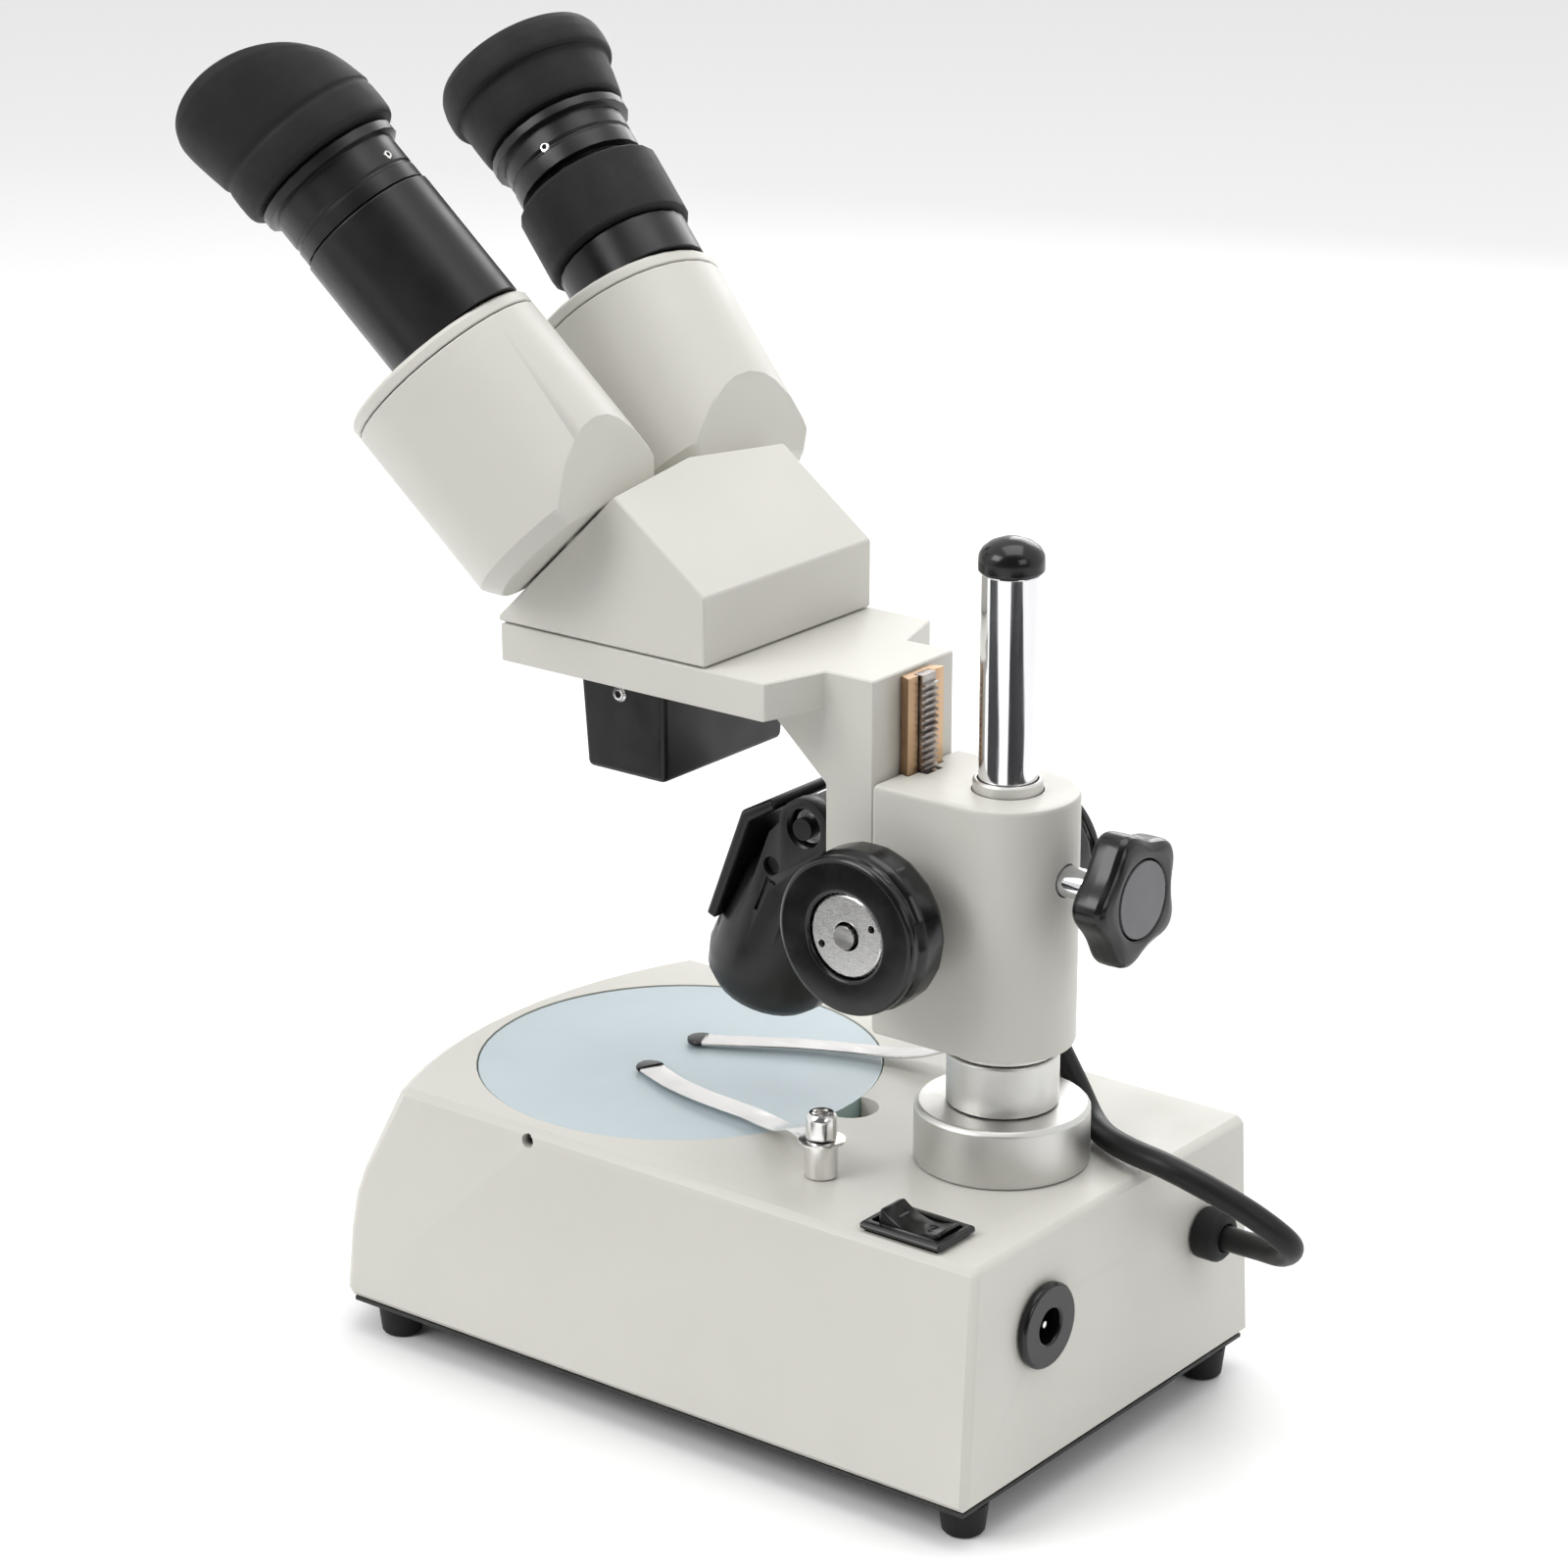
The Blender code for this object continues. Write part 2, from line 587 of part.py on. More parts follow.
def make_rack(paints):
    outline = slide_outline(0.0)
    slide = flat("dovetail_slide", paints["brass"], [outline], SLIDE_LOW, SLIDE_TOP)
    seat = RACK_HALF + GAP
    floor = RACK_FLOOR - GAP
    cut(slide, box("cut_rack_seat", None, (-seat, floor, SLIDE_LOW - 5), (seat, 35.0, SLIDE_TOP + 5)))
    pitch = math.pi * RACK_MODULE
    pitch_line = DRIVE_Y - PINION_TEETH * RACK_MODULE / 2
    root, tip = pitch_line - RACK_DEDENDUM, pitch_line + RACK_ADDENDUM
    teeth = [(RACK_FLOOR, SLIDE_TOP), (RACK_FLOOR, SLIDE_LOW)]
    first = math.ceil((SLIDE_LOW + 1 - DRIVE_Z) / pitch)
    last = math.floor((SLIDE_TOP - 1 - DRIVE_Z) / pitch)
    teeth.append((root, SLIDE_LOW))
    for number in range(first, last + 1):
        middle = DRIVE_Z + number * pitch
        for y, share in ((root, -0.26), (tip, -0.11), (tip, 0.11), (root, 0.26)):
            teeth.append((y, middle + share * pitch))
    teeth.append((root, SLIDE_TOP))
    loft("focus_rack", paints["steel"], [[(x, y, z) for y, z in teeth] for x in (-RACK_HALF, RACK_HALF)])


def make_prism_block(paint):
    """Roofed block: two faces square to the eyepiece axes, a rear slope and upright sides."""
    half, front, rear = 30.3, -68.5, -9.0
    bm = bmesh.new()
    bmesh.ops.create_cube(bm, size=1.0)
    low, high = Vector((-half, front, ARM_TOP + GAP)), Vector((half, rear, 225.0))
    for vert in bm.verts:
        vert.co = Vector([((low + high)[i] / 2 + vert.co[i] * (high - low)[i]) * MM for i in range(3)])
    faces = [(Vector((0.0, rear, 190.0)) * MM, Vector((0.0, 0.744, 1.0)))]
    for _, side in SIDES:
        frame = eye_frame(side)
        faces.append((frame.translation, frame.to_3x3() @ Vector((0.0, 0.0, 1.0))))
    for point, normal in faces:
        everything = bm.verts[:] + bm.edges[:] + bm.faces[:]
        bmesh.ops.bisect_plane(bm, geom=everything, plane_co=point, plane_no=normal, clear_outer=True)
        bmesh.ops.holes_fill(bm, edges=bm.edges)
    block = register(bpy.data.objects.new("prism_block", finished_mesh(bm, "prism_block")), paint, at())
    round_edges(block, 1.2)
    for side_name, side in SIDES:
        pivot = eye_frame(side, POD_SHIFT)
        cut(block, rod(f"cut_pod_bearing_{side_name}", None, PIVOT_RADIUS + GAP, -12, 8, pivot, 20))
        cut(block, rod(f"cut_light_way_{side_name}", None, 8.4, 170, 190, at(side * 10.6, OBJECTIVE_Y), 24))


def make_objective(paints):
    half_low, half_high = 21.7, 22.7
    low, high = 141.2, ARM_LOW - GAP
    middle, depth = OBJECTIVE_Y, 11.3
    sections = []
    for z, half, reach in ((high, half_high, depth + 1), (low, half_low, depth)):
        sections.append([
            (-half, middle - reach, z), (half, middle - reach, z), (half, middle + reach, z),
            (-half, middle + reach, z),
        ])
    housing = loft("objective_housing", paints["black"], sections)
    round_edges(housing, 1.5)
    lens = ((0.0, 148.4), (4.0, 148.0), (7.9, 146.8), (7.9, 144.6), (4.0, 143.6), (0.0, 143.3))
    for side_name, side in SIDES:
        spot = at(side * 10.6, OBJECTIVE_Y)
        cut(housing, rod(f"cut_objective_bore_{side_name}", None, 8.2, 130, 170, spot, 24))
        turned(f"objective_lens_{side_name}", paints["glass"], lens, spot, 24)
    return housing


def make_pod(side_name, side, paints):
    frame = eye_frame(side, POD_SHIFT)
    radius = POD_RADIUS
    shell = (
        (21.6, POD_SEAM - GAP), (radius, POD_SEAM - GAP), (radius, 4.6), (21.5, 0.6), (PIVOT_RADIUS, 0.6),
        (PIVOT_RADIUS, -7.0), (2.4, -7.0), (2.4, 17.5), (21.6, 17.5),
    )
    housing = turned(f"pod_housing_{side_name}", paints["paint"], shell, frame, 32, ring=True)
    slope = at(0.0, radius, 16.5, Matrix.Rotation(math.radians(-35), 4, "X"))
    cut(housing, box(f"cut_pod_facet_{side_name}", None, (-30, 0, -30), (30, 30, 10), frame @ slope))
    cover = ((23.7, POD_TOP), (radius, POD_TOP - 0.8), (radius, POD_SEAM), (0.0, POD_SEAM))
    cap = turned(f"pod_cap_{side_name}", paints["paint"], ((0.0, POD_TOP), *cover), frame, 32)
    cut(cap, rod(f"cut_cap_hole_{side_name}", None, 12.2, 40, 60, eye_frame(side), 32))
    prism = box(f"erecting_prism_{side_name}", paints["glass"], (-9, -15, 20), (9, 10, 42), frame)
    return [housing, cap, prism]


def make_eyecup_right(paint, frame):
    """Raised cup whose rim is cut on a slope, high on the temple side."""
    profile = (
        (21.6, 131.0), (20.4, 111.0), (19.3, 108.4), (19.6, 104.0), (19.2, 99.4), (15.4, 99.4),
        (15.4, 109.2), (14.0, 109.6), (14.0, 110.6), (18.8, 112.0), (20.2, 131.0),
    )
    eyecup = turned("eyecup_right", paint, profile, frame, 24, ring=True)
    lean = frame @ at(0.0, 0.0, 119.5, Matrix.Rotation(math.radians(12), 4, "Z"))
    lean = lean @ Matrix.Rotation(math.radians(-23), 4, "Y")
    return cut(eyecup, box("cut_eyecup_rim", None, (-40, -40, 0), (40, 40, 40), lean))


def make_eyecup_left(paint, frame):
    """The same cup with its rim folded back over its skirt."""
    profile = (
        (13.0, 116.3), (17.0, 116.6), (19.5, 115.4), (20.8, 112.0), (20.6, 98.4), (19.0, 95.8),
        (15.2, 95.8), (15.2, 106.9), (13.0, 107.3),
    )
    return turned("eyecup_left", paint, profile, frame, 24, ring=True)


def make_lens(name, paint, frame, height, radius=10.6):
    lens = (
        (0.0, height + 1.8), (radius * 0.6, height + 1.2), (radius, height), (radius, height - 2.4),
        (radius * 0.6, height - 3.0), (0.0, height - 3.2),
    )
    return turned(name, paint, lens, frame, 24)


def make_eyepiece_right(paints, frame):
    """Fixed eyepiece: a long tube on the pod and a barrel held in it by a set screw."""
    tube = (
        (16.1, 83.6), (16.5, 83.2), (16.5, POD_TOP + GAP), (11.9, POD_TOP + GAP), (11.9, 44.0), (10.0, 44.0),
        (10.0, 56.0), (15.2, 56.0), (15.2, 83.6),
    )
    barrel = (
        (15.1, 108.9), (15.1, 98.8), (17.2, 98.8), (17.7, 98.2), (17.7, 96.0), (16.1, 95.4), (16.1, 88.8),
        (15.7, 88.4), (15.7, 87.8), (16.1, 87.4), (16.1, 83.9), (14.9, 83.9), (14.9, 60.0), (12.5, 60.0),
        (12.5, 98.0), (9.5, 98.0), (9.5, 100.0), (11.0, 100.0), (11.0, 108.9),
    )
    pieces = [
        turned("eyepiece_tube_right", paints["black"], tube, frame, 24, ring=True),
        turned("eyepiece_right", paints["black"], barrel, frame, 24, ring=True),
        make_lens("eye_lens_right", paints["glass"], frame, 106.0),
    ]
    return pieces, make_eyecup_right(paints["rubber"], frame)


def make_eyepiece_left(paints, frame):
    """Focusing eyepiece: a ribbed ring on the tube moves the barrel along the axis."""
    tube = (
        (15.2, 78.6), (15.2, 61.5), (16.3, 61.2), (16.3, POD_TOP + GAP), (11.9, POD_TOP + GAP), (11.9, 44.0),
        (10.0, 44.0), (10.0, 56.0), (13.5, 56.0), (13.5, 78.6),
    )
    barrel = (
        (14.8, 106.6), (14.8, 94.9), (16.9, 94.9), (17.4, 94.3), (17.4, 92.2), (15.6, 91.8), (15.6, 87.4),
        (15.2, 87.0), (15.2, 86.4), (15.6, 86.0), (15.6, 82.0), (13.2, 82.0), (13.2, 60.0), (12.0, 60.0),
        (12.0, 95.0), (9.5, 95.0), (9.5, 97.0), (11.0, 97.0), (11.0, 106.6),
    )
    ring = ((17.3, 79.3), (17.9, 78.7), (17.9, 62.4), (17.3, 61.8), (15.5, 61.8), (15.5, 79.3))
    tube_piece = turned("eyepiece_tube_left", paints["black"], tube, frame, 24, ring=True)
    moving = [
        turned("eyepiece_left", paints["black"], barrel, frame, 24, ring=True),
        make_lens("eye_lens_left", paints["glass"], frame, 103.0),
    ]
    diopter = turned("diopter_ring", paints["rubber"], ring, frame, 24, ring=True)
    return tube_piece, moving, diopter, make_eyecup_left(paints["rubber"], frame)


def make_binocular(paints):
    """Both pods, each turning about its own entry axis, with their eyepieces."""
    right_axis = eye_frame(1)
    pieces, eyecup = make_eyepiece_right(paints, right_axis)
    cup_joint = joint("joint_eyecup_right", right_axis, eyecup)
    pod_right = make_pod("right", 1, paints)
    pods = [joint("joint_pod_right", eye_frame(1, POD_SHIFT), *pod_right, *pieces, cup_joint)]
    left_axis = eye_frame(-1)
    tube, moving, diopter, eyecup = make_eyepiece_left(paints, left_axis)
    cup_joint = joint("joint_eyecup_left", left_axis, eyecup)
    slide = joint("joint_eyepiece_left", left_axis, *moving, cup_joint)
    ring = joint("joint_diopter_ring", left_axis, diopter)
    pod_left = make_pod("left", -1, paints)
    pods.append(joint("joint_pod_left", eye_frame(-1, POD_SHIFT), *pod_left, tube, slide, ring))
    return pods


# ---------------------------------------------------------------- upper lamp

def lamp_frame():
    return at(*LAMP_PIVOT, Matrix.Rotation(LAMP_TILT, 4, "X"))


def make_lamp_bracket(paint):
    """Lug on the arm's column with the pivot pin through its rounded end."""
    _, y, z = LAMP_PIVOT
    outline = [(NECK_FRONT - GAP, z - 6.0), (NECK_FRONT - GAP, z + 6.0)] + arc((y, z), 6.0, 90, 270, 12)
    bracket = side_plate("lamp_bracket", paint, outline, 8.6)
    return join(bracket, rod("add_lamp_pin", None, 2.6, -13.6, 13.6, at(*LAMP_PIVOT, along_x()), 20))


def make_lamp(paints):
    frame = lamp_frame()
    axis = frame @ at(0.0, LAMP_AXIS_Y, 0.0)
    body = (
        (0.0, -9.5), (7.5, -9.5), (9.5, -11.0), (13.0, -20.0), (15.0, -34.0), (15.6, -42.0), (14.6, -47.0),
        (12.2, -50.0), (10.6, -50.6), (10.0, -50.0), (10.0, -26.0), (0.0, -26.0),
    )
    housing = turned("lamp_housing", paints["black"], body, axis, 30)
    cut(housing, box("cut_lamp_front", None, (-20, -30, -37.0), (20, -13.6, 5), frame))
    cheek = [(-8.0, -30.0), (2.0, -30.0), (6.2, -4.0)] + arc((0.0, 0.0), 6.8, -20, 200, 14) + [(-8.0, -6.0)]
    for side_name, side in SIDES:
        place = frame @ at(side * 11.0, 0.0, 0.0)
        join(housing, side_plate(f"add_lamp_cheek_{side_name}", None, cheek, 2.0, place))
    cut(
        housing,
        rod("cut_lamp_pivot", None, 2.9, -20, 20, frame @ at(turn=along_x()), 20),
        rod("cut_lead_entry", None, 3.3, -6.0, 12.0, at(-11.0, 4.2, 105.2, lead_entry_turn()), 16),
    )
    cover = [(-16.8, -34.6), (-13.9, -34.6), (-13.9, -7.2), (-8.6, -0.4), (-10.4, 1.6), (-16.8, -6.0)]
    plate = side_plate("lamp_cover", paints["black"], cover, 13.0, frame)
    round_edges(plate, 0.6, 1)
    window = ((0.0, -44.6), (6.0, -45.0), (9.7, -46.4), (9.7, -48.0), (0.0, -48.0))
    lens = turned("lamp_lens", paints["glass"], window, axis, 24)
    return joint("joint_lamp", frame, housing, plate, lens)


def lead_entry_turn():
    """Turn that lays a rod's axis along the last stretch of the lead."""
    start, end = Vector(LEAD_ROUTE[-1]), Vector(LEAD_ROUTE[-2])
    return (end - start).to_track_quat("Z", "Y").to_matrix().to_4x4()


# ---------------------------------------------------------------- assembly

def make_paints():
    return {
        "paint": material("ivory_paint", (0.76, 0.74, 0.68), 0.45),
        "black": material("black_plastic", (0.02, 0.02, 0.021), 0.35),
        "rubber": material("black_rubber", (0.025, 0.025, 0.026), 0.75),
        "chrome": material("chrome", (0.8, 0.8, 0.82), 0.08, 1.0),
        "satin": material("satin_aluminium", (0.68, 0.67, 0.64), 0.35, 1.0),
        "steel": material("bright_steel", (0.7, 0.69, 0.66), 0.2, 1.0),
        "brass": material("brass", (0.62, 0.45, 0.26), 0.35, 1.0),
        "glass": material("frosted_glass", (0.7, 0.8, 0.86), 0.4),
        "lamp": material("lamp_emitter", (0.9, 0.88, 0.8), 0.4),
        "grey": material("grey_disc", (0.14, 0.13, 0.14), 0.5),
    }


def main():
    global PARTS, CUTTERS
    clear_scene()
    PARTS = new_collection(OBJECT_NAME)
    CUTTERS = new_collection("cutters")
    paints = make_paints()
    make_base_housing(paints["paint"])
    make_stage_and_lamp(paints)
    make_underside(paints)
    make_switch(paints)
    make_socket_and_gland(paints)
    make_lead(paints["rubber"])
    make_clips(paints)
    make_pillar(paints)
    make_head(paints["paint"])
    make_clamp(paints)
    make_focus_drive(paints)
    make_arm(paints["paint"])
    make_rack(paints)
    make_prism_block(paints["paint"])
    make_objective(paints)
    make_lamp_bracket(paints["black"])
    make_binocular(paints)
    make_lamp(paints)


main()
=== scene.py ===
"""Stereo microscope on a pillar stand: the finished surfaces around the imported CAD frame.

Everything is in metres in the CAD's own frame: +Z up, the operator at -Y, the operator's right at +X.
"""
import json
import math

import bmesh
import bpy
from mathutils import Matrix, Vector


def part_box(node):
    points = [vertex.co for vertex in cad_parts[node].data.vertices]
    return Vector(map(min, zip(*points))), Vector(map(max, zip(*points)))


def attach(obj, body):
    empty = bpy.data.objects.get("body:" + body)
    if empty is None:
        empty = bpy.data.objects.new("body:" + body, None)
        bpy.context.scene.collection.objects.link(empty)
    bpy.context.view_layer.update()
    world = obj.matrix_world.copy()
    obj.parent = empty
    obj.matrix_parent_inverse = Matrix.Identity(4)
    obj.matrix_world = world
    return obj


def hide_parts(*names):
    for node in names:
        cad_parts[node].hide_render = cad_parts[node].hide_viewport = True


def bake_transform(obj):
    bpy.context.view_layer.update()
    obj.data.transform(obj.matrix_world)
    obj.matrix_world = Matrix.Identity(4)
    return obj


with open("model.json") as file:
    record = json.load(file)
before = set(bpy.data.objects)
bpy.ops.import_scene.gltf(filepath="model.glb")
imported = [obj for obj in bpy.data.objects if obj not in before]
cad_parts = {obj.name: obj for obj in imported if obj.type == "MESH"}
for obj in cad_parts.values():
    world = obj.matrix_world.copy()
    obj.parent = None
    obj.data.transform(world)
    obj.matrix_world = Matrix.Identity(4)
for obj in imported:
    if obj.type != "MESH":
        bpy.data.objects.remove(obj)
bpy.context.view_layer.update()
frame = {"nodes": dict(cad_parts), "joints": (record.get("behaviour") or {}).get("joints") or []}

MM = 0.001
NODES = frame["nodes"]
JOINTS = {joint["name"]: joint for joint in frame["joints"]}
SIDES = (("right", 1), ("left", -1))


# ---------------------------------------------------------------- places, from the frame

def centre(node):
    low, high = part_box(node)
    return (Vector(low) + Vector(high)) / 2


def joint_axis(name):
    """A joint's point and unit axis."""
    joint = JOINTS[name]
    return Vector(joint.get("pos_m", (0, 0, 0))), Vector(joint["axis"]).normalized()


def frame_on(point, z_axis, x_hint=(1, 0, 0)):
    """Frame at a point whose Z lies along an axis and whose X is near a hint."""
    z = Vector(z_axis).normalized()
    hint = Vector(x_hint)
    if abs(z.dot(hint)) > 0.9:
        hint = Vector((0, 1, 0))
    x = (hint - z * hint.dot(z)).normalized()
    y = z.cross(x)
    turn = Matrix((x, y, z)).transposed().to_4x4()
    return Matrix.Translation(point) @ turn


def at(x=0.0, y=0.0, z=0.0):
    return Matrix.Translation((x, y, z))


# ---------------------------------------------------------------- materials

class Surface:
    """A Principled material with object coordinates and small helpers for its detail."""

    def __init__(self, name, colour, roughness, metallic=0.0, **sockets):
        self.material = bpy.data.materials.new(name)
        self.material.use_nodes = True
        self.material.diffuse_color = (*colour, 1.0)
        self.tree = self.material.node_tree
        self.shader = self.tree.nodes["Principled BSDF"]
        self.colour = colour
        self.set(self.shader, "Base Color", (*colour, 1.0))
        self.set(self.shader, "Roughness", roughness)
        self.set(self.shader, "Metallic", metallic)
        for key, value in sockets.items():
            self.set(self.shader, key.replace("_", " "), value)
        self.coordinates = self.tree.nodes.new("ShaderNodeTexCoord").outputs["Object"]
        self.normal = None

    def set(self, node, socket, value):
        node.inputs[socket].default_value = value

    def node(self, kind, **values):
        made = self.tree.nodes.new(kind)
        for key, value in values.items():
            if key in made.inputs:
                self.set(made, key, value)
            else:
                setattr(made, key, value)
        return made

    def link(self, source, target):
        self.tree.links.new(source, target)

    def noise(self, scale, detail=3.0, stretch=None, rough=0.5):
        noise = self.node("ShaderNodeTexNoise", Scale=scale, Detail=detail, Roughness=rough)
        source = self.coordinates
        if stretch:
            mapping = self.node("ShaderNodeMapping")
            self.set(mapping, "Scale", stretch)
            self.link(source, mapping.inputs["Vector"])
            source = mapping.outputs["Vector"]
        self.link(source, noise.inputs["Vector"])
        return noise.outputs["Fac"]

    def ramp(self, source, low, high, start=0.35, end=0.65):
        made = self.node("ShaderNodeValToRGB")
        made.color_ramp.elements[0].position = start
        made.color_ramp.elements[1].position = end
        made.color_ramp.elements[0].color = (*low, 1.0)
        made.color_ramp.elements[1].color = (*high, 1.0)
        self.link(source, made.inputs["Fac"])
        return made.outputs["Color"]

    def mix(self, factor, first, second):
        mix = self.node("ShaderNodeMix", data_type="RGBA")
        self.link(factor, mix.inputs["Factor"])
        for socket, value in (("A", first), ("B", second)):
            target = [s for s in mix.inputs if s.name == socket and s.type == "RGBA"][0]
            if isinstance(value, bpy.types.NodeSocket):
                self.link(value, target)
            else:
                target.default_value = (*value, 1.0)
        return [s for s in mix.outputs if s.type == "RGBA"][0]

    def paint(self, colour):
        self.link(colour, self.shader.inputs["Base Color"])

    def tint(self, spread, scale, rough=0.5):
        """Slow variation of the base colour, lighter and darker by spread."""
        low = [max(c * (1 - spread), 0) for c in self.colour]
        high = [min(c * (1 + spread), 1) for c in self.colour]
        made = self.ramp(self.noise(scale, 4.0, rough=rough), low, high, 0.3, 0.7)
        self.paint(made)
        return made

    def polish(self, low, high, scale, stretch=None, detail=3.0):
        """Roughness that wanders between two values."""
        remap = self.node("ShaderNodeMapRange")
        self.set(remap, "From Min", 0.3)
        self.set(remap, "From Max", 0.7)
        self.set(remap, "To Min", low)
        self.set(remap, "To Max", high)
        self.link(self.noise(scale, detail, stretch), remap.inputs["Value"])
        self.link(remap.outputs["Result"], self.shader.inputs["Roughness"])

    def bump(self, height, strength, distance):
        bump = self.node("ShaderNodeBump", Strength=strength, Distance=distance)
        self.link(height, bump.inputs["Height"])
        if self.normal is not None:
            self.link(self.normal, bump.inputs["Normal"])
        self.normal = bump.outputs["Normal"]
        self.link(self.normal, self.shader.inputs["Normal"])

    def grain(self, scale, strength, distance, detail=2.0, stretch=None):
        self.bump(self.noise(scale, detail, stretch), strength, distance)

    def edges(self, base, colour, start=0.53, end=0.62, amount=0.6):
        """Wear along convex edges, broken up by noise."""
        point = self.node("ShaderNodeNewGeometry").outputs["Pointiness"]
        sharp = self.node("ShaderNodeMapRange")
        self.set(sharp, "From Min", start)
        self.set(sharp, "From Max", end)
        self.link(point, sharp.inputs["Value"])
        broken = self.node("ShaderNodeMath", operation="MULTIPLY")
        self.link(sharp.outputs["Result"], broken.inputs[0])
        self.link(self.noise(450.0, 5.0, rough=0.7), broken.inputs[1])
        faint = self.node("ShaderNodeMath", operation="MULTIPLY")
        self.link(broken.outputs["Value"], faint.inputs[0])
        faint.inputs[1].default_value = amount
        self.paint(self.mix(faint.outputs["Value"], base, colour))

    def rings(self, centre_point, axis, scale, strength, distance):
        """Concentric turning marks about an axis."""
        mapping = self.node("ShaderNodeMapping", vector_type="TEXTURE")
        spin = Vector((0, 0, 1)).rotation_difference(Vector(axis)).to_euler()
        self.set(mapping, "Location", centre_point)
        self.set(mapping, "Rotation", spin)
        self.link(self.coordinates, mapping.inputs["Vector"])
        wave = self.node(
            "ShaderNodeTexWave", wave_type="RINGS", rings_direction="Z", Scale=scale, Distortion=2.0,
        )
        self.set(wave, "Detail", 2.0)
        self.set(wave, "Detail Scale", 3.0)
        self.link(mapping.outputs["Vector"], wave.inputs["Vector"])
        self.bump(wave.outputs["Fac"], strength, distance)


def ivory_paint():
    """Satin stoved enamel over cast metal: faint orange peel, slight mottling, duller on edges."""
    made = Surface("ivory_enamel", (0.605, 0.594, 0.545), 0.42, Specular_IOR_Level=0.4)
    base = made.tint(0.018, 28.0)
    made.edges(base, (0.52, 0.51, 0.47), 0.54, 0.66, 0.35)
    made.polish(0.36, 0.50, 60.0)
    made.grain(1500.0, 0.16, 0.00006, 3.0)
    made.grain(220.0, 0.05, 0.0002, 2.0)
    return made.material


def black_anodised():
    made = Surface("black_anodised", (0.006, 0.006, 0.0065), 0.33, 0.0, Specular_IOR_Level=0.42)
    base = made.tint(0.25, 90.0)
    made.edges(base, (0.06, 0.06, 0.063), 0.57, 0.68, 0.5)
    made.polish(0.30, 0.38, 130.0)
    made.grain(3800.0, 0.10, 0.00003, 2.0)
    return made.material


def black_plastic():
    made = Surface("black_moulding", (0.0065, 0.0065, 0.007), 0.36, Specular_IOR_Level=0.42)
    base = made.tint(0.2, 60.0)
    made.edges(base, (0.03, 0.03, 0.033), 0.56, 0.68, 0.5)
    made.polish(0.30, 0.46, 90.0)
    made.grain(2600.0, 0.12, 0.00005, 2.0)
    return made.material


def gloss_plastic():
    made = Surface("black_gloss_moulding", (0.0055, 0.0055, 0.006), 0.2, Specular_IOR_Level=0.45)
    made.tint(0.2, 60.0)
    made.polish(0.14, 0.26, 150.0)
    made.grain(500.0, 0.04, 0.0001, 2.0)
    return made.material


def rubber(name="black_rubber", colour=(0.009, 0.009, 0.0095), grain=0.22, matt=0.62):
    """Moulded rubber: matt, finely pebbled, with a little dust and bloom."""
    made = Surface(name, colour, matt, Specular_IOR_Level=0.28, Sheen_Weight=0.05, Sheen_Roughness=0.4)
    dust = made.ramp(made.noise(140.0, 6.0, rough=0.65), colour, [c * 1.35 for c in colour], 0.35, 0.75)
    made.paint(dust)
    made.polish(matt - 0.04, matt + 0.06, 210.0)
    made.grain(3000.0, grain, 0.00008, 3.0)
    return made.material


def chrome():
    made = Surface("polished_chrome", (0.80, 0.80, 0.82), 0.07, 1.0)
    made.tint(0.02, 60.0)
    made.polish(0.04, 0.13, 900.0, (1.0, 1.0, 0.05))
    made.grain(3000.0, 0.02, 0.00002, 2.0, (1.0, 1.0, 0.08))
    return made.material


def turned_aluminium(name, point, axis, colour=(0.66, 0.655, 0.63), rough=(0.33, 0.38)):
    """Satin machined aluminium with fine turning marks about its own axis."""
    made = Surface(name, colour, sum(rough) / 2, 1.0)
    made.tint(0.015, 160.0)
    made.polish(rough[0], rough[1], 500.0, (1.0, 1.0, 6.0))
    made.rings(point, axis, 1400.0, 0.05, 0.00002)
    return made.material


def bright_steel():
    made = Surface("bright_steel", (0.78, 0.77, 0.755), 0.2, 1.0)
    made.tint(0.05, 120.0)
    made.polish(0.14, 0.27, 500.0, (1.0, 0.2, 1.0))
    made.grain(2400.0, 0.05, 0.00003, 2.0, (1.0, 0.15, 1.0))
    return made.material


def rack_steel():
    made = Surface("rack_steel", (0.36, 0.34, 0.33), 0.34, 1.0)
    grease = made.ramp(made.noise(160.0, 5.0), (0.14, 0.12, 0.11), (0.42, 0.39, 0.37), 0.35, 0.6)
    made.paint(grease)
    made.polish(0.2, 0.5, 300.0)
    return made.material


def brass():
    """Milled brass slide with a film of old grease."""
    made = Surface("milled_brass", (0.56, 0.37, 0.22), 0.34, 1.0)
    streaks = made.noise(70.0, 5.0, (1.0, 1.0, 0.25))
    film = made.ramp(streaks, (0.42, 0.27, 0.16), (0.66, 0.46, 0.29), 0.35, 0.65)
    made.paint(film)
    made.polish(0.26, 0.48, 300.0, (1.0, 1.0, 0.06))
    made.grain(1500.0, 0.12, 0.00004, 2.0, (1.0, 1.0, 0.04))
    return made.material


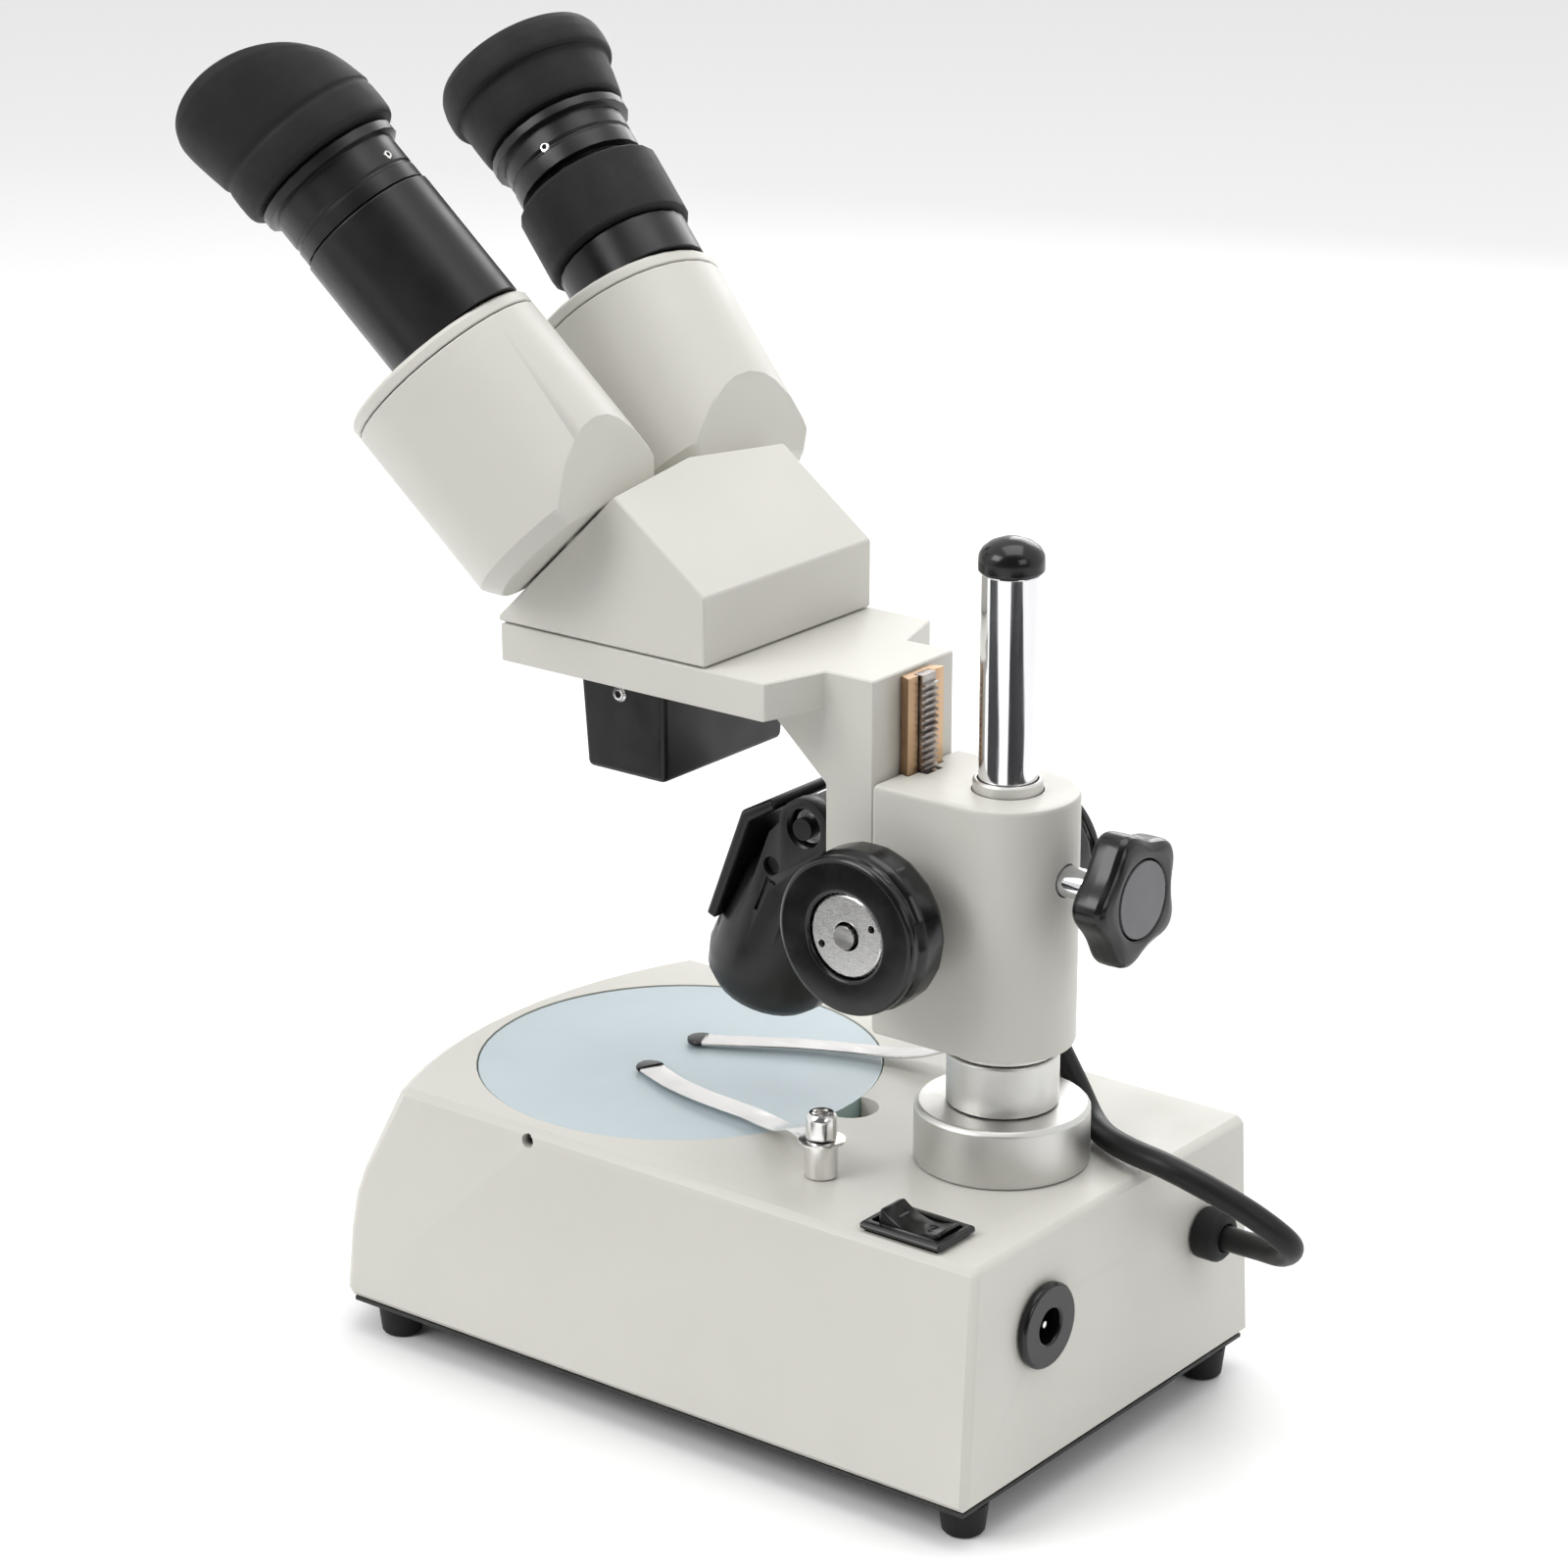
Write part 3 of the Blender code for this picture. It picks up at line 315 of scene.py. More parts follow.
def frosted_glass():
    """Ground glass plate, pale blue from above and greener where its edge shows."""
    made = Surface("frosted_glass", (0.60, 0.73, 0.80), 0.34, IOR=1.5, Specular_IOR_Level=0.5)
    made.set(made.shader, "Transmission Weight", 0.28)
    made.set(made.shader, "Coat Weight", 0.25)
    made.set(made.shader, "Coat Roughness", 0.12)
    facing = made.node("ShaderNodeSeparateXYZ")
    made.link(made.node("ShaderNodeNewGeometry").outputs["Normal"], facing.inputs["Vector"])
    side = made.node("ShaderNodeMapRange")
    made.set(side, "From Min", 0.35)
    made.set(side, "From Max", 0.75)
    made.link(facing.outputs["Z"], side.inputs["Value"])
    face = made.ramp(made.noise(30.0, 4.0), (0.60, 0.705, 0.755), (0.65, 0.75, 0.795))
    made.paint(made.mix(side.outputs["Result"], (0.46, 0.62, 0.60), face))
    made.grain(4200.0, 0.12, 0.00003, 2.0)
    return made.material


def coated_lens():
    """Optical glass in front of a dark barrel, with a bloomed coating."""
    made = Surface("coated_lens", (0.018, 0.020, 0.034), 0.04, IOR=1.6, Specular_IOR_Level=0.9)
    tint = made.ramp(made.noise(25.0, 2.0), (0.012, 0.016, 0.030), (0.028, 0.020, 0.045))
    made.paint(tint)
    made.set(made.shader, "Coat Weight", 1.0)
    made.set(made.shader, "Coat Roughness", 0.02)
    made.set(made.shader, "Coat Tint", (0.62, 0.86, 0.74, 1.0))
    return made.material


def plain(name, colour, roughness, metallic=0.0, spread=0.06, grain=0.1):
    made = Surface(name, colour, roughness, metallic)
    made.tint(spread, 120.0)
    made.polish(roughness * 0.85, roughness * 1.15, 240.0)
    made.grain(2400.0, grain, 0.00004, 2.0)
    return made.material


# ---------------------------------------------------------------- piece making

WELD_REACH = 0.00001
FLAT_ANGLE = math.radians(0.4)
BEVEL_ANGLE = math.radians(40)


def piece(name, mesh_or_curve, material, body, slot, *replaced):
    """Links a piece, gives it its material, and rides it on its body."""
    made = bpy.data.objects.new(name, mesh_or_curve)
    bpy.context.scene.collection.objects.link(made)
    made.data.materials.clear()
    made.data.materials.append(material)
    if replaced:
        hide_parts(*replaced)
    if body:
        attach(made, body)
    return made


def smooth(mesh, degrees=38):
    mesh.shade_smooth()
    mesh.set_sharp_from_angle(angle=math.radians(degrees))
    return mesh


def mesh_from(bm, name, place=None, degrees=38):
    bmesh.ops.recalc_face_normals(bm, faces=bm.faces)
    if place is not None:
        bm.transform(place)
    mesh = bpy.data.meshes.new(name)
    bm.to_mesh(mesh)
    bm.free()
    return smooth(mesh, degrees)


def rounded(profile, radius, steps=3, closed=False):
    """Profile in (r, z) whose corners are rounded by up to radius."""
    points = [Vector(p) for p in profile]
    result = []
    count = len(points)
    for i, point in enumerate(points):
        ends = not closed and i in (0, count - 1)
        before, after = points[i - 1], points[(i + 1) % count]
        if ends or (point.x == 0):
            result.append(point)
            continue
        a, b = before - point, after - point
        reach = min(radius, a.length * 0.45, b.length * 0.45)
        start, end = point + a.normalized() * reach, point + b.normalized() * reach
        for step in range(steps + 1):
            t = step / steps
            result.append(start * (1 - t) ** 2 + point * 2 * t * (1 - t) + end * t ** 2)
    return result


def spun(profile, place, steps=96, wave=None):
    """Turned mesh from a closed or axis-to-axis (r, z) profile; wave(angle, r, z) may move r and z."""
    bm = bmesh.new()
    rings = []
    for r, z in profile:
        if r <= 1e-9:
            rings.append([bm.verts.new((0.0, 0.0, z))])
            continue
        ring = []
        for step in range(steps):
            angle = math.tau * step / steps
            rr, zz = wave(angle, r, z) if wave else (r, z)
            ring.append(bm.verts.new((rr * math.cos(angle), rr * math.sin(angle), zz)))
        rings.append(ring)
    pairs = list(zip(rings, rings[1:]))
    if len(rings[0]) > 1 and len(rings[-1]) > 1:
        pairs.append((rings[-1], rings[0]))
    for first, second in pairs:
        for step in range(steps):
            following = (step + 1) % steps
            if len(first) == 1:
                bm.faces.new((first[0], second[step], second[following]))
            elif len(second) == 1:
                bm.faces.new((first[step], second[0], first[following]))
            else:
                bm.faces.new((first[step], second[step], second[following], first[following]))
    bmesh.ops.recalc_face_normals(bm, faces=bm.faces)
    bm.transform(place)
    return bm


def spun_piece(
    name, profile, place, material, body, slot, *replaced, steps=96, round_by=0.0, wave=None, degrees=38,
):
    """Turned piece from an (r, z) profile in millimetres, its corners rounded by up to round_by."""
    closed = profile[0][0] > 1e-9 and profile[-1][0] > 1e-9
    points = [(r * MM, z * MM) for r, z in profile]
    if round_by:
        points = [(p.x, p.y) for p in rounded(points, round_by * MM, 3, closed)]
    mesh = bpy.data.meshes.new(name)
    bm = spun(points, place, steps, wave)
    bm.to_mesh(mesh)
    bm.free()
    return piece(name, smooth(mesh, degrees), material, body, slot, *replaced)


def smooth_group():
    """Geometry nodes that shade a mesh smooth, keeping edges sharper than 35 degrees."""
    group = bpy.data.node_groups.new("smooth_by_angle", "GeometryNodeTree")
    group.interface.new_socket("Geometry", in_out="INPUT", socket_type="NodeSocketGeometry")
    group.interface.new_socket("Geometry", in_out="OUTPUT", socket_type="NodeSocketGeometry")
    nodes, links = group.nodes, group.links
    enter, leave = nodes.new("NodeGroupInput"), nodes.new("NodeGroupOutput")
    faces = nodes.new("GeometryNodeSetShadeSmooth")
    edges = nodes.new("GeometryNodeSetShadeSmooth")
    edges.domain = "EDGE"
    edges.inputs["Shade Smooth"].default_value = False
    angle = nodes.new("GeometryNodeInputMeshEdgeAngle")
    compare = nodes.new("FunctionNodeCompare")
    compare.operation = "GREATER_THAN"
    compare.inputs[1].default_value = math.radians(35)
    links.new(angle.outputs["Unsigned Angle"], compare.inputs[0])
    links.new(enter.outputs[0], faces.inputs["Geometry"])
    links.new(faces.outputs["Geometry"], edges.inputs["Geometry"])
    links.new(compare.outputs[0], edges.inputs["Selection"])
    links.new(edges.outputs["Geometry"], leave.inputs[0])
    return group


SMOOTH = smooth_group()


def refine(node, width, material, segments=2):
    """Finishes a CAD node in place: welded, its hard edges broken by width in mm, and its own material."""
    obj = NODES[node]
    weld = obj.modifiers.new("Weld", "WELD")
    weld.merge_threshold = WELD_REACH
    flat = obj.modifiers.new("Flatten", "DECIMATE")
    flat.decimate_type = "DISSOLVE"
    flat.angle_limit = FLAT_ANGLE
    if width:
        bevel = obj.modifiers.new("Break edges", "BEVEL")
        bevel.width = width * MM
        bevel.segments = segments
        bevel.limit_method = "ANGLE"
        bevel.angle_limit = BEVEL_ANGLE
        bevel.harden_normals = False
        bevel.miter_outer = "MITER_ARC"
    shade = obj.modifiers.new("Smooth by angle", "NODES")
    shade.node_group = SMOOTH
    even = obj.modifiers.new("Even shading", "WEIGHTED_NORMAL")
    even.keep_sharp = True
    even.weight = 80
    obj.data.materials.clear()
    obj.data.materials.append(material)


# ---------------------------------------------------------------- camera, light, floor

CAMERA_PLACE = (0.7292, 0.5780, 0.4525)
CAMERA_TURN = (71.23, 0.0, 127.7)
CAMERA_LENS = 99.3
CAMERA_SENSOR = 36.0
CAMERA_SIDE = (0.79, 0.61, 0.0)
ROOM_STRENGTH = 0.98
FLOOR_HALF = 4.0
LIGHT_AIM = (0.0, 0.0, 0.12)
# name, place, width in metres, watts
LIGHTS = (
    ("key", (1.0, -0.45, 0.95), 0.7, 8.0),
    ("fill", (0.35, 1.35, 0.75), 0.6, 2.6),
    ("top", (-0.1, 0.1, 1.5), 1.0, 7.2),
    ("rim", (-1.0, -0.3, 0.6), 0.6, 3.6),
)
# name, middle and sides in metres, of two dark cards that lie out of view and darken the chrome: painted
# shade standing in for the dim room that the chrome reflects
SHADE_CARDS = (
    ("shade_card_left", (0.49, -0.24, 0.001), (0.40, 0.50)),
    ("shade_card_right", (0.28, 0.55, 0.001), (0.50, 0.50)),
)
CARD_TURN = 38.4


def studio_world():
    """White surroundings behind the object, and a dimmer room on the photographer's side."""
    world = bpy.data.worlds.new("studio")
    world.use_nodes = True
    nodes, links = world.node_tree.nodes, world.node_tree.links
    background = nodes["Background"]
    coordinates = nodes.new("ShaderNodeTexCoord")
    side = nodes.new("ShaderNodeVectorMath")
    side.operation = "DOT_PRODUCT"
    side.inputs[1].default_value = CAMERA_SIDE
    links.new(coordinates.outputs["Generated"], side.inputs[0])
    ramp = nodes.new("ShaderNodeValToRGB")
    ramp.color_ramp.elements[0].position = 0.30
    ramp.color_ramp.elements[0].color = (1.0, 1.0, 1.0, 1.0)
    ramp.color_ramp.elements[1].position = 0.62
    ramp.color_ramp.elements[1].color = (0.15, 0.15, 0.155, 1.0)
    links.new(side.outputs["Value"], ramp.inputs["Fac"])
    links.new(ramp.outputs["Color"], background.inputs["Color"])
    background.inputs["Strength"].default_value = ROOM_STRENGTH
    return world


def make_stage():
    """Plain pale floor, black cards of painted shade, soft boxes and the camera at the photographed angle.
    """
    scene = bpy.context.scene
    view = bpy.data.cameras.new("camera")
    view.lens = CAMERA_LENS
    view.sensor_width = CAMERA_SENSOR
    camera = bpy.data.objects.new("camera", view)
    camera.location = CAMERA_PLACE
    camera.rotation_euler = [math.radians(angle) for angle in CAMERA_TURN]
    scene.collection.objects.link(camera)
    scene.camera = camera

    scene.world = studio_world()
    scene.view_settings.view_transform = "Standard"

    bm = bmesh.new()
    bmesh.ops.create_grid(bm, x_segments=1, y_segments=1, size=FLOOR_HALF)
    floor_mesh = bpy.data.meshes.new("floor")
    bm.to_mesh(floor_mesh)
    bm.free()
    floor = bpy.data.objects.new("floor", floor_mesh)
    floor_paint = Surface("floor", (0.93, 0.93, 0.93), 0.8)
    floor_mesh.materials.append(floor_paint.material)
    scene.collection.objects.link(floor)

    # matt black cards on the floor, out of view: painted shade for the dim room, seen only as dark
    # reflections in the chrome
    shade_card_black = Surface("painted_shade_card", (0.012, 0.012, 0.013), 0.9)
    turn = Matrix.Rotation(math.radians(CARD_TURN), 4, "Z")
    for name, place, sides in SHADE_CARDS:
        bm = bmesh.new()
        bmesh.ops.create_grid(bm, x_segments=1, y_segments=1, size=0.5)
        bm.transform(at(*place) @ turn @ Matrix.Diagonal((*sides, 1.0, 1.0)))
        card_mesh = bpy.data.meshes.new(name)
        bm.to_mesh(card_mesh)
        bm.free()
        card_mesh.materials.append(shade_card_black.material)
        card = bpy.data.objects.new(name, card_mesh)
        scene.collection.objects.link(card)

    for name, place, size, power in LIGHTS:
        light = bpy.data.lights.new(name, "AREA")
        light.size = size
        light.energy = power
        lamp = bpy.data.objects.new(name, light)
        lamp.location = place
        aim = Vector(LIGHT_AIM) - Vector(place)
        lamp.rotation_euler = aim.to_track_quat("-Z", "Y").to_euler()
        scene.collection.objects.link(lamp)


# ---------------------------------------------------------------- the lamp's lead

LEAD_DIAMETER = 5.8
LEAD_SHIFT = 25.0
LEAD_ROUTE = (
    (-35.1, 76.0, 42.4), (-35.1, 88.0, 42.4), (-33.0, 98.0, 43.6), (-28.0, 107.0, 46.5),
    (-22.5, 112.0, 52.0), (-17.5, 107.0, 58.5), (-13.5, 98.0, 64.0), (-11.0, 87.0, 68.0),
    (-12.5, 76.0, 68.6), (-16.5, 67.0, 68.4), (-21.5, 60.0, 69.2), (-24.3, 54.0, 74.5),
    (-24.0, 48.0, 84.0), (-22.3, 42.0, 95.0), (-20.0, 33.0, 103.5), (-19.0, 22.0, 106.0),
    (-16.0, 12.0, 106.0), (-12.0, 5.5, 105.4), (-8.9, 0.8, 104.6),
)
LEAD_BREAKS = ((-0.0243, 0.079, 0.0745), (-0.0200, 0.058, 0.1035))


def lead_path():
    """The route as a smooth curve in metres, close enough together to have its true length."""
    points = [Vector(p) + Vector((0, LEAD_SHIFT, 0)) for p in LEAD_ROUTE]
    return [p * MM for p in smooth_curve(points, 8)]


def path_length(path):
    return sum((b - a).length for a, b in zip(path, path[1:]))


def tube(path, radius, sides=20):
    """Round tube along a path, its section carried along without twisting."""
    bm = bmesh.new()
    angles = [math.tau * k / sides for k in range(sides)]
    last = len(path) - 1
    tangents = [(path[min(i + 1, last)] - path[max(i - 1, 0)]).normalized() for i in range(len(path))]
    side = tangents[0].orthogonal().normalized()
    rings = []
    for point, tangent in zip(path, tangents):
        side = (side - tangent * side.dot(tangent)).normalized()
        other = tangent.cross(side)
        rings.append([
            bm.verts.new(point + radius * (side * math.cos(angle) + other * math.sin(angle)))
            for angle in angles
        ])
    for first, second in zip(rings, rings[1:]):
        for k in range(sides):
            bm.faces.new((first[k], first[(k + 1) % sides], second[(k + 1) % sides], second[k]))
    bm.faces.new(rings[0][::-1])
    bm.faces.new(rings[-1])
    return bm


def make_lead(material):
    """The lead in three stretches, split at the two break points; no stretch rides on a body."""
    path = lead_path()
    first, second = (
        min(range(len(path)), key=lambda i: (path[i] - Vector(spot)).length) for spot in LEAD_BREAKS
    )
    stretches = (
        ("lead_lower", path[:first + 1], "base", "height_sleeve", path[len(path) // 4], path[first]),
        ("lead_middle", path[first:second + 1], "height_sleeve", "focus_head", path[first], path[second]),
        ("lead_upper", path[second:], "focus_head", "focus_arm", path[second], path[-1]),
    )
    for name, stretch, body, next_body, start, end in stretches:
        mesh = mesh_from(tube(stretch, LEAD_DIAMETER / 2 * MM), name, None, 60)
        made = piece(name, mesh, material, None, "rubber", *(["lamp_lead"] if name == "lead_lower" else []))
        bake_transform(made)


# ---------------------------------------------------------------- eyepieces and eyecups

EYE_AXES = {side: joint_axis(f"{side}_eyecup_turn") for side, _ in SIDES}
CUP_JOINT_HEIGHT = 104.0


def eye_frame(side_name):
    """Frame on an eyepiece's axis, its origin at the CAD's height zero, X to the operator's right."""
    point, axis = EYE_AXES[side_name]
    return frame_on(point - axis * CUP_JOINT_HEIGHT * MM, axis)


def make_eyecups(material):
    """The right cup stands up with a sloping, inward-curling rim; the left one is folded back on itself."""
    low, rim = 108.6, 131.0
    rim_middle, rim_half = 119.5, 21.0
    slope = math.tan(math.radians(23.0))
    slope_turn, lip_turn = math.radians(12.0), math.radians(43.0)
    lip_reach = 2.2 * MM

    def slant(angle, r, z):
        if z <= low * MM:
            return r, z
        top = rim_middle + slope * rim_half * math.cos(angle - slope_turn)
        share = (z / MM - low) / (rim - low)
        return r + lip_reach * share * math.cos(angle + lip_turn), (low + share * (top - low)) * MM

    raised = (
        (15.4, 99.4), (18.0, 99.4), (19.3, 99.7), (19.8, 101.0), (19.9, 104.0), (19.8, 107.2),
        (19.5, 108.1), (19.6, 108.7), (20.0, 109.8), (20.1, 114.0), (20.2, 120.0), (20.2, 124.5),
        (20.0, 128.0), (19.2, 130.3), (18.2, 131.0), (17.0, 130.5), (16.9, 129.7), (18.2, 128.4),
        (19.2, 125.0), (19.6, 120.0), (19.2, 114.5), (18.2, 111.6), (14.0, 110.6), (14.0, 109.6),
        (15.4, 109.2),
    )
    cup = spun_piece(
        "eyecup_right_rubber", raised, eye_frame("right"), material, "right_eyecup", "rubber",
        "eyecup_right", steps=96, round_by=0.5, wave=slant, degrees=60,
    )
    folded = (
        (13.0, 116.3), (15.6, 116.9), (17.8, 116.9), (19.6, 115.9), (20.6, 114.0), (21.0, 111.4),
        (21.0, 108.8), (20.8, 107.5), (20.2, 106.8), (19.5, 106.9), (19.1, 106.0), (18.7, 102.0),
        (18.2, 98.6), (17.8, 96.5), (17.2, 95.8), (15.2, 95.8), (15.2, 106.9), (13.0, 107.3),
    )
    other = spun_piece(
        "eyecup_left_rubber", folded, eye_frame("left"), material, "left_eyecup", "rubber", "eyecup_left",
        steps=96, round_by=0.5, degrees=60,
    )
    return cup, other


def make_grub_screw(name, place, radius, height, material, body, slot="bright_steel"):
    """Short screw with a chamfer and a hexagon socket, standing along the frame's Z."""
    def hexagon(angle, r, z):
        if r > radius * 0.56 * MM:
            return r, z
        corner = (angle % (math.tau / 6)) - math.tau / 12
        return r * 0.9 / math.cos(corner), z

    profile = (
        (0.0, -height), (radius, -height), (radius, -0.25 * radius), (radius * 0.8, 0.0),
        (radius * 0.6, 0.0), (radius * 0.5, -0.05), (radius * 0.5, -0.9 * radius), (0.0, -1.1 * radius),
    )
    return spun_piece(name, profile, place, material, body, slot, steps=48, wave=hexagon, degrees=30)


def make_set_screws(steel, dark):
    """Grub screws: one in each eyepiece, one in the objective unit and one in the base's side wall."""
    for side_name, height, angle, radius, body in (
        ("right", 90.4, 92.4, 16.1, "right_pod"), ("left", 87.1, 25.1, 15.6, "left_eyepiece"),
    ):
        turn = math.radians(angle)
        spoke = Vector((math.cos(turn), math.sin(turn), 0.0))
        local = frame_on(spoke * (radius + 0.15) * MM + Vector((0, 0, height * MM)), spoke, (0, 0, 1))
        make_grub_screw(f"eyepiece_screw_{side_name}", eye_frame(side_name) @ local, 1.15, 1.4, steel, body)
    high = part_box("objective_housing")[1]
    lock = Vector((high[0] + 0.5 * MM, centre("objective_lens_right").y - 0.6 * MM, 0.1606))
    make_grub_screw("objective_lock_screw", frame_on(lock, (1, 0, 0)), 1.9, 1.6, steel, "focus_arm")
    hole = Vector((0.0520, -0.0175, 0.0619))
    make_grub_screw("base_side_screw", frame_on(hole, (1, 0, 0)), 1.5, 2.0, dark, "base", "black_sheet")


# ---------------------------------------------------------------- knobs, clips, switch, socket

def make_star_knob(material):
    """Five soft lobes round a recessed face, with a collar behind."""
    point, axis = joint_axis("clamp_turn")
    low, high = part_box("clamp_knob")
    back, face = low[1] / MM, high[1] / MM
    place = frame_on((point.x, 0.0, point.z), axis)
    disc = (Vector(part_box("clamp_knob_disc")[1]) - Vector(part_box("clamp_knob_disc")[0])).x / 2 / MM
    recess = disc + 0.35
    lobe_count, lobe_turn = 5, math.radians(144)

    def lobes(angle, r, z):
        weight = max(0.0, min(1.0, (r / MM - recess - 0.8) / 2.6))
        wave = math.cos(lobe_count * (angle - lobe_turn))
        return r + weight * MM * (1.3 * wave + 0.25 * wave * wave), z

    profile = (
        (3.8, back), (8.2, back), (8.6, back + 0.4), (11.4, back + 0.6), (12.8, back + 0.8),
        (13.5, back + 1.3), (13.9, back + 2.2), (14.0, back + 4.6), (13.9, face - 2.2),
        (13.4, face - 1.0), (12.4, face - 0.3), (11.0, face), (recess + 0.5, face - 0.05),
        (recess, face - 0.35), (recess, face - 1.1), (3.8, face - 1.1),
    )
    return spun_piece(
        "clamp_knob_star", profile, place, material, "clamp_handle", "black_plastic", "clamp_knob",
        steps=180, round_by=0.35, wave=lobes, degrees=50,
    )


def make_clip_screws(steel):
    """Domed hexagon-socket screws over the clips."""
    for side_name, _ in SIDES:
        low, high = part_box(f"clip_screw_{side_name}")
        middle = (Vector(low) + Vector(high)) / 2
        radius = (high[0] - low[0]) / 2 / MM
        floor, top = low[2] / MM, high[2] / MM

        def knurl(angle, r, z, radius=radius, top=top):
            if r > (radius - 0.5) * MM and z < (top - 1.2) * MM:
                return r - 0.07 * MM * (0.5 - 0.5 * math.cos(8 * angle)), z
            if r < radius * 0.5 * MM and z > (top - 2.0) * MM:
                corner = (angle % (math.tau / 6)) - math.tau / 12
                return r * 0.9 / math.cos(corner), z
            return r, z

        profile = (
            (0.0, top - 2.1), (1.95, top - 2.1), (1.95, floor), (radius, floor), (radius, top - 1.3),
            (radius * 0.93, top - 0.6), (radius * 0.78, top), (radius * 0.52, top),
            (radius * 0.46, top - 0.2), (radius * 0.46, top - 1.6), (0.0, top - 1.8),
        )
        spun_piece(
            f"clip_screw_head_{side_name}", profile, at(middle.x, middle.y, 0.0), steel, f"{side_name}_clip",
            "bright_steel", f"clip_screw_{side_name}", steps=216, wave=knurl, degrees=32,
        )


BLADE_ROUTES = {
    "right": (
        (33.1, 50.4, 73.0), (28.6, 41.4, 71.6), (24.0, 33.4, 68.0), (20.4, 26.4, 66.3), (18.4, 19.0, 66.0),
        (17.6, 11.0, 65.9), (16.6, 3.0, 65.8), (14.6, -5.5, 65.6), (11.8, -13.0, 65.4), (8.6, -20.2, 65.2),
    ),
    "left": (
        (-33.1, 50.4, 73.0), (-31.6, 41.0, 71.6), (-30.6, 32.0, 68.2), (-29.0, 22.0, 66.4),
        (-26.4, 13.5, 66.0), (-23.0, 5.5, 65.9), (-19.4, -1.5, 65.8), (-15.6, -8.4, 65.6),
        (-12.2, -15.0, 65.4), (-9.4, -21.6, 65.2),
    ),
}
BLADE_HALF = 3.1
BLADE_THICK = 0.7
BLADE_FLARE = 0.35
FLARE_LENGTH = 12.0
TIP_LENGTH = 4.5
TIP_SIDE = 0.0003


def blade_section(point, run, half, low, high, steps=6):
    """Section of a pressed strip, its edges a little rounded, square to its run."""
    across = Vector((-run.y, run.x, 0.0)).normalized()
    edge = (high - low) / 2
    loop = []
    for side, start in ((1, -90), (-1, 90)):
        for step in range(steps + 1):
            angle = math.radians(start + 180 * step / steps)
            loop.append(point + across * side * (half - edge + edge * abs(math.cos(angle)))
                        + Vector((0, 0, (low + high) / 2 + edge * math.sin(angle))))
    return loop


def strip(route, widths, low, high):
    """Lofted strip along a route, with its own half width at each point."""
    bm = bmesh.new()
    loops = []
    for i, (point, half) in enumerate(zip(route, widths)):
        run = route[min(i + 1, len(route) - 1)] - route[max(i - 1, 0)]
        loops.append([bm.verts.new(p) for p in blade_section(point, run, half, low, high)])
    count = len(loops[0])
    for first, second in zip(loops, loops[1:]):
        for k in range(count):
            bm.faces.new((first[k], first[(k + 1) % count], second[(k + 1) % count], second[k]))
    bm.faces.new(loops[0][::-1])
    bm.faces.new(loops[-1])
    return bm


def smooth_curve(points, samples):
    """Catmull-Rom curve through the points."""
    padded = [points[0], *points, points[-1]]
    path = []
    for before, start, end, after in zip(padded, padded[1:], padded[2:], padded[3:]):
        for step in range(samples):
            t = step / samples
            square = 2 * before - 5 * start + 4 * end - after
            cube = 3 * start - before - 3 * end + after
            path.append(0.5 * (2 * start + (end - before) * t + square * t ** 2 + cube * t ** 3))
    path.append(points[-1])
    return path


def make_clip_blades(steel, pad):
    """Sprung strips that dip from their posts to the glass and sweep across it, with black tips."""
    for side_name, _ in SIDES:
        path = [p * MM for p in smooth_curve([Vector(p) for p in BLADE_ROUTES[side_name]], 8)]
        total = path_length(path)
        walked, widths, tip_start = 0.0, [], None
        for i, point in enumerate(path):
            walked += (point - path[i - 1]).length if i else 0.0
            left = total - walked
            share = left / (BLADE_HALF * MM)
            round_end = min(1.0, math.sqrt(max(share, 0.0) * (2 - min(share, 1.0))))
            flare = 1.0 + BLADE_FLARE * max(0.0, 1.0 - walked / (FLARE_LENGTH * MM))
            widths.append(max(BLADE_HALF * MM * round_end * flare, 0.0004))
            if tip_start is None and left < TIP_LENGTH * MM:
                tip_start = i
        bm = strip(path, widths, 0.0, BLADE_THICK * MM)
        blade = mesh_from(bm, f"clip_blade_{side_name}", None, 40)
        piece(blade.name, blade, steel, f"{side_name}_clip", "bright_steel", f"clip_spring_{side_name}")
        cover = [width + TIP_SIDE for width in widths[tip_start:]]
        sleeve = strip(path[tip_start:], cover, -0.00012, (BLADE_THICK + 0.35) * MM)
        tip = mesh_from(sleeve, f"clip_tip_{side_name}", None, 40)
        piece(tip.name, tip, pad, f"{side_name}_clip", "rubber")
        middle = centre(f"clip_post_{side_name}")
        washer = ((1.9, 73.0), (4.9, 73.0), (5.3, 73.2), (5.3, 73.55), (4.9, 73.75), (1.9, 73.75))
        spun_piece(
            f"clip_eye_{side_name}", washer, at(middle.x, middle.y, 0.0), steel, f"{side_name}_clip",
            "bright_steel", steps=64, degrees=35,
        )


